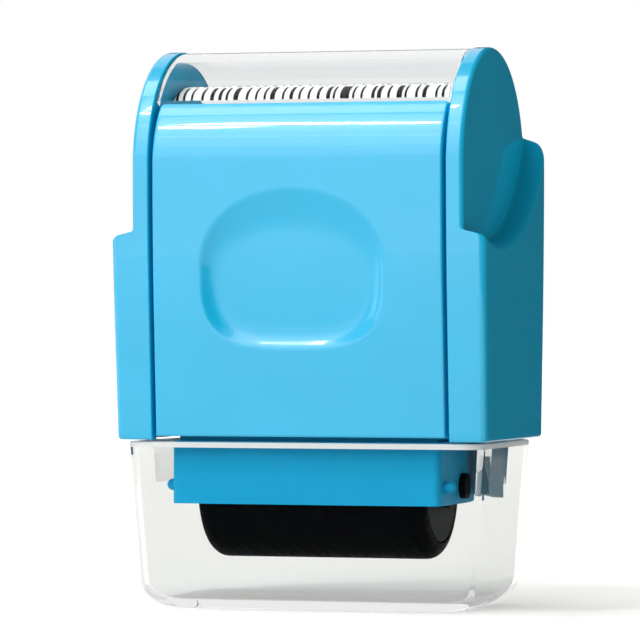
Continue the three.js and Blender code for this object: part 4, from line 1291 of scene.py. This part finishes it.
class STAMP_OT_print(bpy.types.Operator):
    """Adds the printed film and the white saddle that carries it."""

    bl_idname = "stamp.print"
    bl_label = "Printed film"

    def execute(self, context):
        s = sizes()
        film = arch_skin(STRIP_LOW, STRIP_HIGH, s.film_thickness, s.film_thickness / 5)
        new_piece("film_sheet", film, finish("film"), "housing", "pattern_strip")
        saddle = arch_skin(SADDLE_LOW, SADDLE_HIGH, s.saddle_thickness, s.saddle_thickness / 7)
        new_piece("saddle_shell", saddle, finish("saddle"), "housing", "pattern_saddle")
        return {"FINISHED"}


class STAMP_OT_cap(bpy.types.Operator):
    """Adds the clear cap: a tapered cup with a round bottom edge and two spring tongues."""

    bl_idname = "stamp.cap"
    bl_label = "Cap"

    def execute(self, context):
        s = sizes()
        skin = cap_skin()
        wall_faces = len(skin.faces)
        tongue = tongue_skin()
        skin.add(tongue)
        skin.add(tongue.mirrored())
        cup = new_piece("cap_shell", skin, finish("cap"), "cap", "cap")
        rim_z = HOUSING_Z - s.part_gap
        low, high = rim_z - s.cap_frost_highlight, rim_z + s.cap_rim_round / 2
        # The band along the rim takes the frosted finish, a painted highlight
        paint(cup, finish("cap_rim"), lambda face: low < face.center.z < high)
        paint(cup, finish("tongues"), lambda face: face.index >= wall_faces)
        return {"FINISHED"}


class STAMP_OT_rollers(bpy.types.Operator):
    """Adds the inked rubber roller, and dresses the axles, cores, washers and the felt roller."""

    bl_idname = "stamp.rollers"
    bl_label = "Rollers"

    def execute(self, context):
        new_piece(
            "rubber_roller", roller_skin(), finish("rubber"), "print_roller", "rubber_sleeve"
        )
        for name in ("print_roller_axle", "left_thrust_washer", "right_thrust_washer"):
            dress(name, finish("acetal"), sizes().small_edge)
        for name in ("print_roller_core", "ink_roller_core"):
            dress(name, finish("acetal"))
        dress("felt_sleeve", finish("felt"))
        dress("ink_roller_axle", finish("steel"))
        return {"FINISHED"}


class STAMP_OT_cartridge(bpy.types.Operator):
    """Dresses the yoke, its lid, the ink roller's blocks and springs, and the lid's screws."""

    bl_idname = "stamp.cartridge"
    bl_label = "Cartridge"

    def execute(self, context):
        s = sizes()
        dress("yoke", finish("yoke"), s.yoke_edge)
        dress("cartridge_lid", finish("inner"), s.small_edge)
        for side in ("left", "right"):
            dress(side + "_ink_block", finish("acetal"), s.block_edge)
            dress(side + "_ink_spring", finish("steel"))
        for place in ("front", "rear"):
            dress(place + "_lid_screw", finish("steel"), s.screw_edge)
        return {"FINISHED"}


class STAMP_OT_chassis(bpy.types.Operator):
    """Dresses the inner frame with its guide legs, and the screws, detent springs and rivets on it."""

    bl_idname = "stamp.chassis"
    bl_label = "Chassis"

    def execute(self, context):
        s = sizes()
        dress("chassis", finish("inner"), s.chassis_edge)
        for side in ("left", "right"):
            for place in ("front", "rear"):
                dress(f"{side}_{place}_screw", finish("steel"), s.screw_edge)
            dress(side + "_detent_spring", finish("steel"))
            dress(side + "_detent_rivet", finish("steel"), s.rivet_edge)
        return {"FINISHED"}


# The studio
def aimed(obj, location, target):
    """Puts a lamp or camera at a place and turns it to a target."""
    obj.location = location
    direction = Vector(target) - Vector(location)
    obj.rotation_mode = "QUATERNION"
    obj.rotation_quaternion = direction.to_track_quat("-Z", "Y")


def towards(azimuth, elevation):
    """A direction from the stamp: azimuth 0 is in front of it and grows to its right, in degrees."""
    a, e = math.radians(azimuth), math.radians(elevation)
    return Vector((math.sin(a) * math.cos(e), -math.cos(a) * math.cos(e), math.sin(e)))


def add_camera():
    """A long lens at the photograph's viewing angle."""
    camera = bpy.data.cameras.new("camera")
    camera.lens = CAMERA_LENS
    camera.sensor_width = 36
    camera.clip_start, camera.clip_end = 0.01, 50
    holder = bpy.data.objects.new("camera", camera)
    bpy.context.scene.collection.objects.link(holder)
    target = Vector(CAMERA_TARGET)
    aimed(holder, target + towards(CAMERA_AZIMUTH, CAMERA_ELEVATION) * CAMERA_DISTANCE, target)
    bpy.context.scene.camera = holder


def add_lamp(name, azimuth, elevation, distance, width, height, radiance):
    """A soft rectangular lamp that faces the stamp; its power follows from how bright its face is."""
    lamp = bpy.data.lights.new(name, "AREA")
    lamp.shape = "RECTANGLE"
    lamp.size, lamp.size_y = width, height
    lamp.energy = radiance * math.pi * width * height
    holder = bpy.data.objects.new(name, lamp)
    bpy.context.scene.collection.objects.link(holder)
    middle = Vector(LAMPS_AIM)
    aimed(holder, middle + towards(azimuth, elevation) * distance, middle)


def seen_directly(tree):
    """1 for what the camera sees, also in gloss or through clear plastic, and 0 for what lights a surface."""
    path = node(tree, "ShaderNodeLightPath")
    seen = node(
        tree, "ShaderNodeMath", {0: path.outputs["Is Camera Ray"], 1: path.outputs["Is Glossy Ray"]},
        operation="MAXIMUM",
    )
    seen = node(
        tree, "ShaderNodeMath", {0: seen, 1: path.outputs["Is Transmission Ray"]}, operation="MAXIMUM"
    )
    scattered = path.outputs["Diffuse Depth"]
    return node(tree, "ShaderNodeMath", {0: seen, 1: scattered}, operation="SUBTRACT", use_clamp=True)


def add_world():
    """Seen directly, in gloss and through clear plastic the studio is white; it lights the object less."""
    world = bpy.data.worlds.new("studio")
    world.use_nodes = True
    bpy.context.scene.world = world
    tree = world.node_tree
    tree.nodes.clear()
    lighting = rgba(scaled(linear(WALLS_LIGHT), WORLD_LEVEL))
    tone = node(
        tree,
        "ShaderNodeMix",
        {0: seen_directly(tree), 6: lighting, 7: rgba(linear(STUDIO_LIGHT))},
        data_type="RGBA",
    )
    background = node(tree, "ShaderNodeBackground", {"Color": tone})
    node(tree, "ShaderNodeOutputWorld", {"Surface": background})


def stage_sheet(name, corners, material):
    """A flat sheet of the studio, which isn't part of the object."""
    mesh = bpy.data.meshes.new(name)
    mesh.from_pydata(corners, [], [(0, 1, 2, 3)])
    mesh.materials.append(material)
    sheet = bpy.data.objects.new(name, mesh)
    bpy.context.scene.collection.objects.link(sheet)
    return sheet


def add_floor():
    """A white paper floor that keeps the object's shadow and runs into the white of the studio."""
    corners = [(x * FLOOR_HALF, y * FLOOR_HALF, 0.0) for x, y in ((-1, -1), (1, -1), (1, 1), (-1, 1))]
    # To the eye: plain matte white with a faint 2 mm cloud, brighter the further off it is
    material, tree = new_material("white_paper_floor")
    place = node(tree, "ShaderNodeTexCoord").outputs["Object"]
    grain = node(tree, "ShaderNodeTexNoise", {"Vector": place, "Scale": 1 / (2 * MM), "Detail": 3.0})
    paper = tuple(colours().floor)
    tone = node(
        tree, "ShaderNodeMix", {0: grain, 6: rgba(scaled(paper, 0.97)), 7: rgba(paper)}, data_type="RGBA"
    )
    far = node(tree, "ShaderNodeVectorMath", {0: place}, operation="LENGTH")
    glow = node(
        tree,
        "ShaderNodeMapRange",
        {"Value": far.outputs["Value"], "From Min": FLOOR_GLOW_START, "From Max": FLOOR_GLOW_END,
         "To Min": FLOOR_GLOW_NEAR, "To Max": FLOOR_GLOW_FAR},
    )
    strength = node(tree, "ShaderNodeMath", {0: seen_directly(tree), 1: glow}, operation="MULTIPLY")
    shader = node(
        tree,
        "ShaderNodeBsdfPrincipled",
        {"Base Color": tone, "Roughness": 0.8, "Emission Color": rgba(linear(STUDIO_LIGHT)),
         "Emission Strength": strength},
    )
    node(tree, "ShaderNodeOutputMaterial", {"Surface": shader})
    stage_sheet("floor", corners, material)


def add_black_cards():
    """Black cards, and a cloth on the floor, that only the gloss sees, as a photographer sets them up to
    keep a white studio from washing out glossy sides. They aren't seen in gloss past a clear part."""
    material, tree = new_material("black_velvet_card")
    velvet = node(
        tree, "ShaderNodeBsdfPrincipled", {"Base Color": rgba(linear(CARD_BLACK)), "Roughness": 0.9}
    )
    gone = node(tree, "ShaderNodeBsdfTransparent")
    past_clear = node(tree, "ShaderNodeLightPath").outputs["Transmission Depth"]
    mix = node(tree, "ShaderNodeMixShader", {0: past_clear, 1: velvet, 2: gone})
    node(tree, "ShaderNodeOutputMaterial", {"Surface": mix})
    for name, corners in CARDS.items():
        card = stage_sheet(name, corners, material)
        card.visible_camera = False
        card.visible_transmission = False
        card.visible_diffuse = False
        card.visible_shadow = False


class STAMP_OT_stage(bpy.types.Operator):
    """Adds the floor, the cards, the soft lamps and the camera."""

    bl_idname = "stamp.stage"
    bl_label = "Stage"

    def execute(self, context):
        add_camera()
        add_world()
        add_floor()
        add_black_cards()
        for lamp in LAMPS:
            add_lamp(*lamp)
        bpy.context.scene.view_settings.view_transform = "Standard"
        return {"FINISHED"}


OPERATORS = (
    STAMP_OT_cheeks,
    STAMP_OT_covers,
    STAMP_OT_window,
    STAMP_OT_print,
    STAMP_OT_cap,
    STAMP_OT_rollers,
    STAMP_OT_cartridge,
    STAMP_OT_chassis,
    STAMP_OT_stage,
)


class STAMP_PT_pieces(bpy.types.Panel):
    """Lists the stamp's pieces in the sidebar."""

    bl_idname = "STAMP_PT_pieces"
    bl_label = "Privacy Roller Stamp"
    bl_space_type = "VIEW_3D"
    bl_region_type = "UI"
    bl_category = "Stamp"

    def draw(self, context):
        for operator in OPERATORS:
            self.layout.operator(operator.bl_idname)


CLASSES = (StampSizes, StampColours, *OPERATORS, STAMP_PT_pieces)


def register():
    for cls in CLASSES:
        bpy.utils.register_class(cls)
    bpy.types.Scene.stamp_sizes = PointerProperty(type=StampSizes)
    bpy.types.Scene.stamp_colours = PointerProperty(type=StampColours)


def unregister():
    del bpy.types.Scene.stamp_colours
    del bpy.types.Scene.stamp_sizes
    for cls in reversed(CLASSES):
        bpy.utils.unregister_class(cls)


def main():
    register()
    bpy.ops.stamp.cheeks()
    bpy.ops.stamp.covers()
    bpy.ops.stamp.window()
    bpy.ops.stamp.print()
    bpy.ops.stamp.cap()
    bpy.ops.stamp.rollers()
    bpy.ops.stamp.cartridge()
    bpy.ops.stamp.chassis()
    bpy.ops.stamp.stage()


if __name__ == "__main__":
    main()
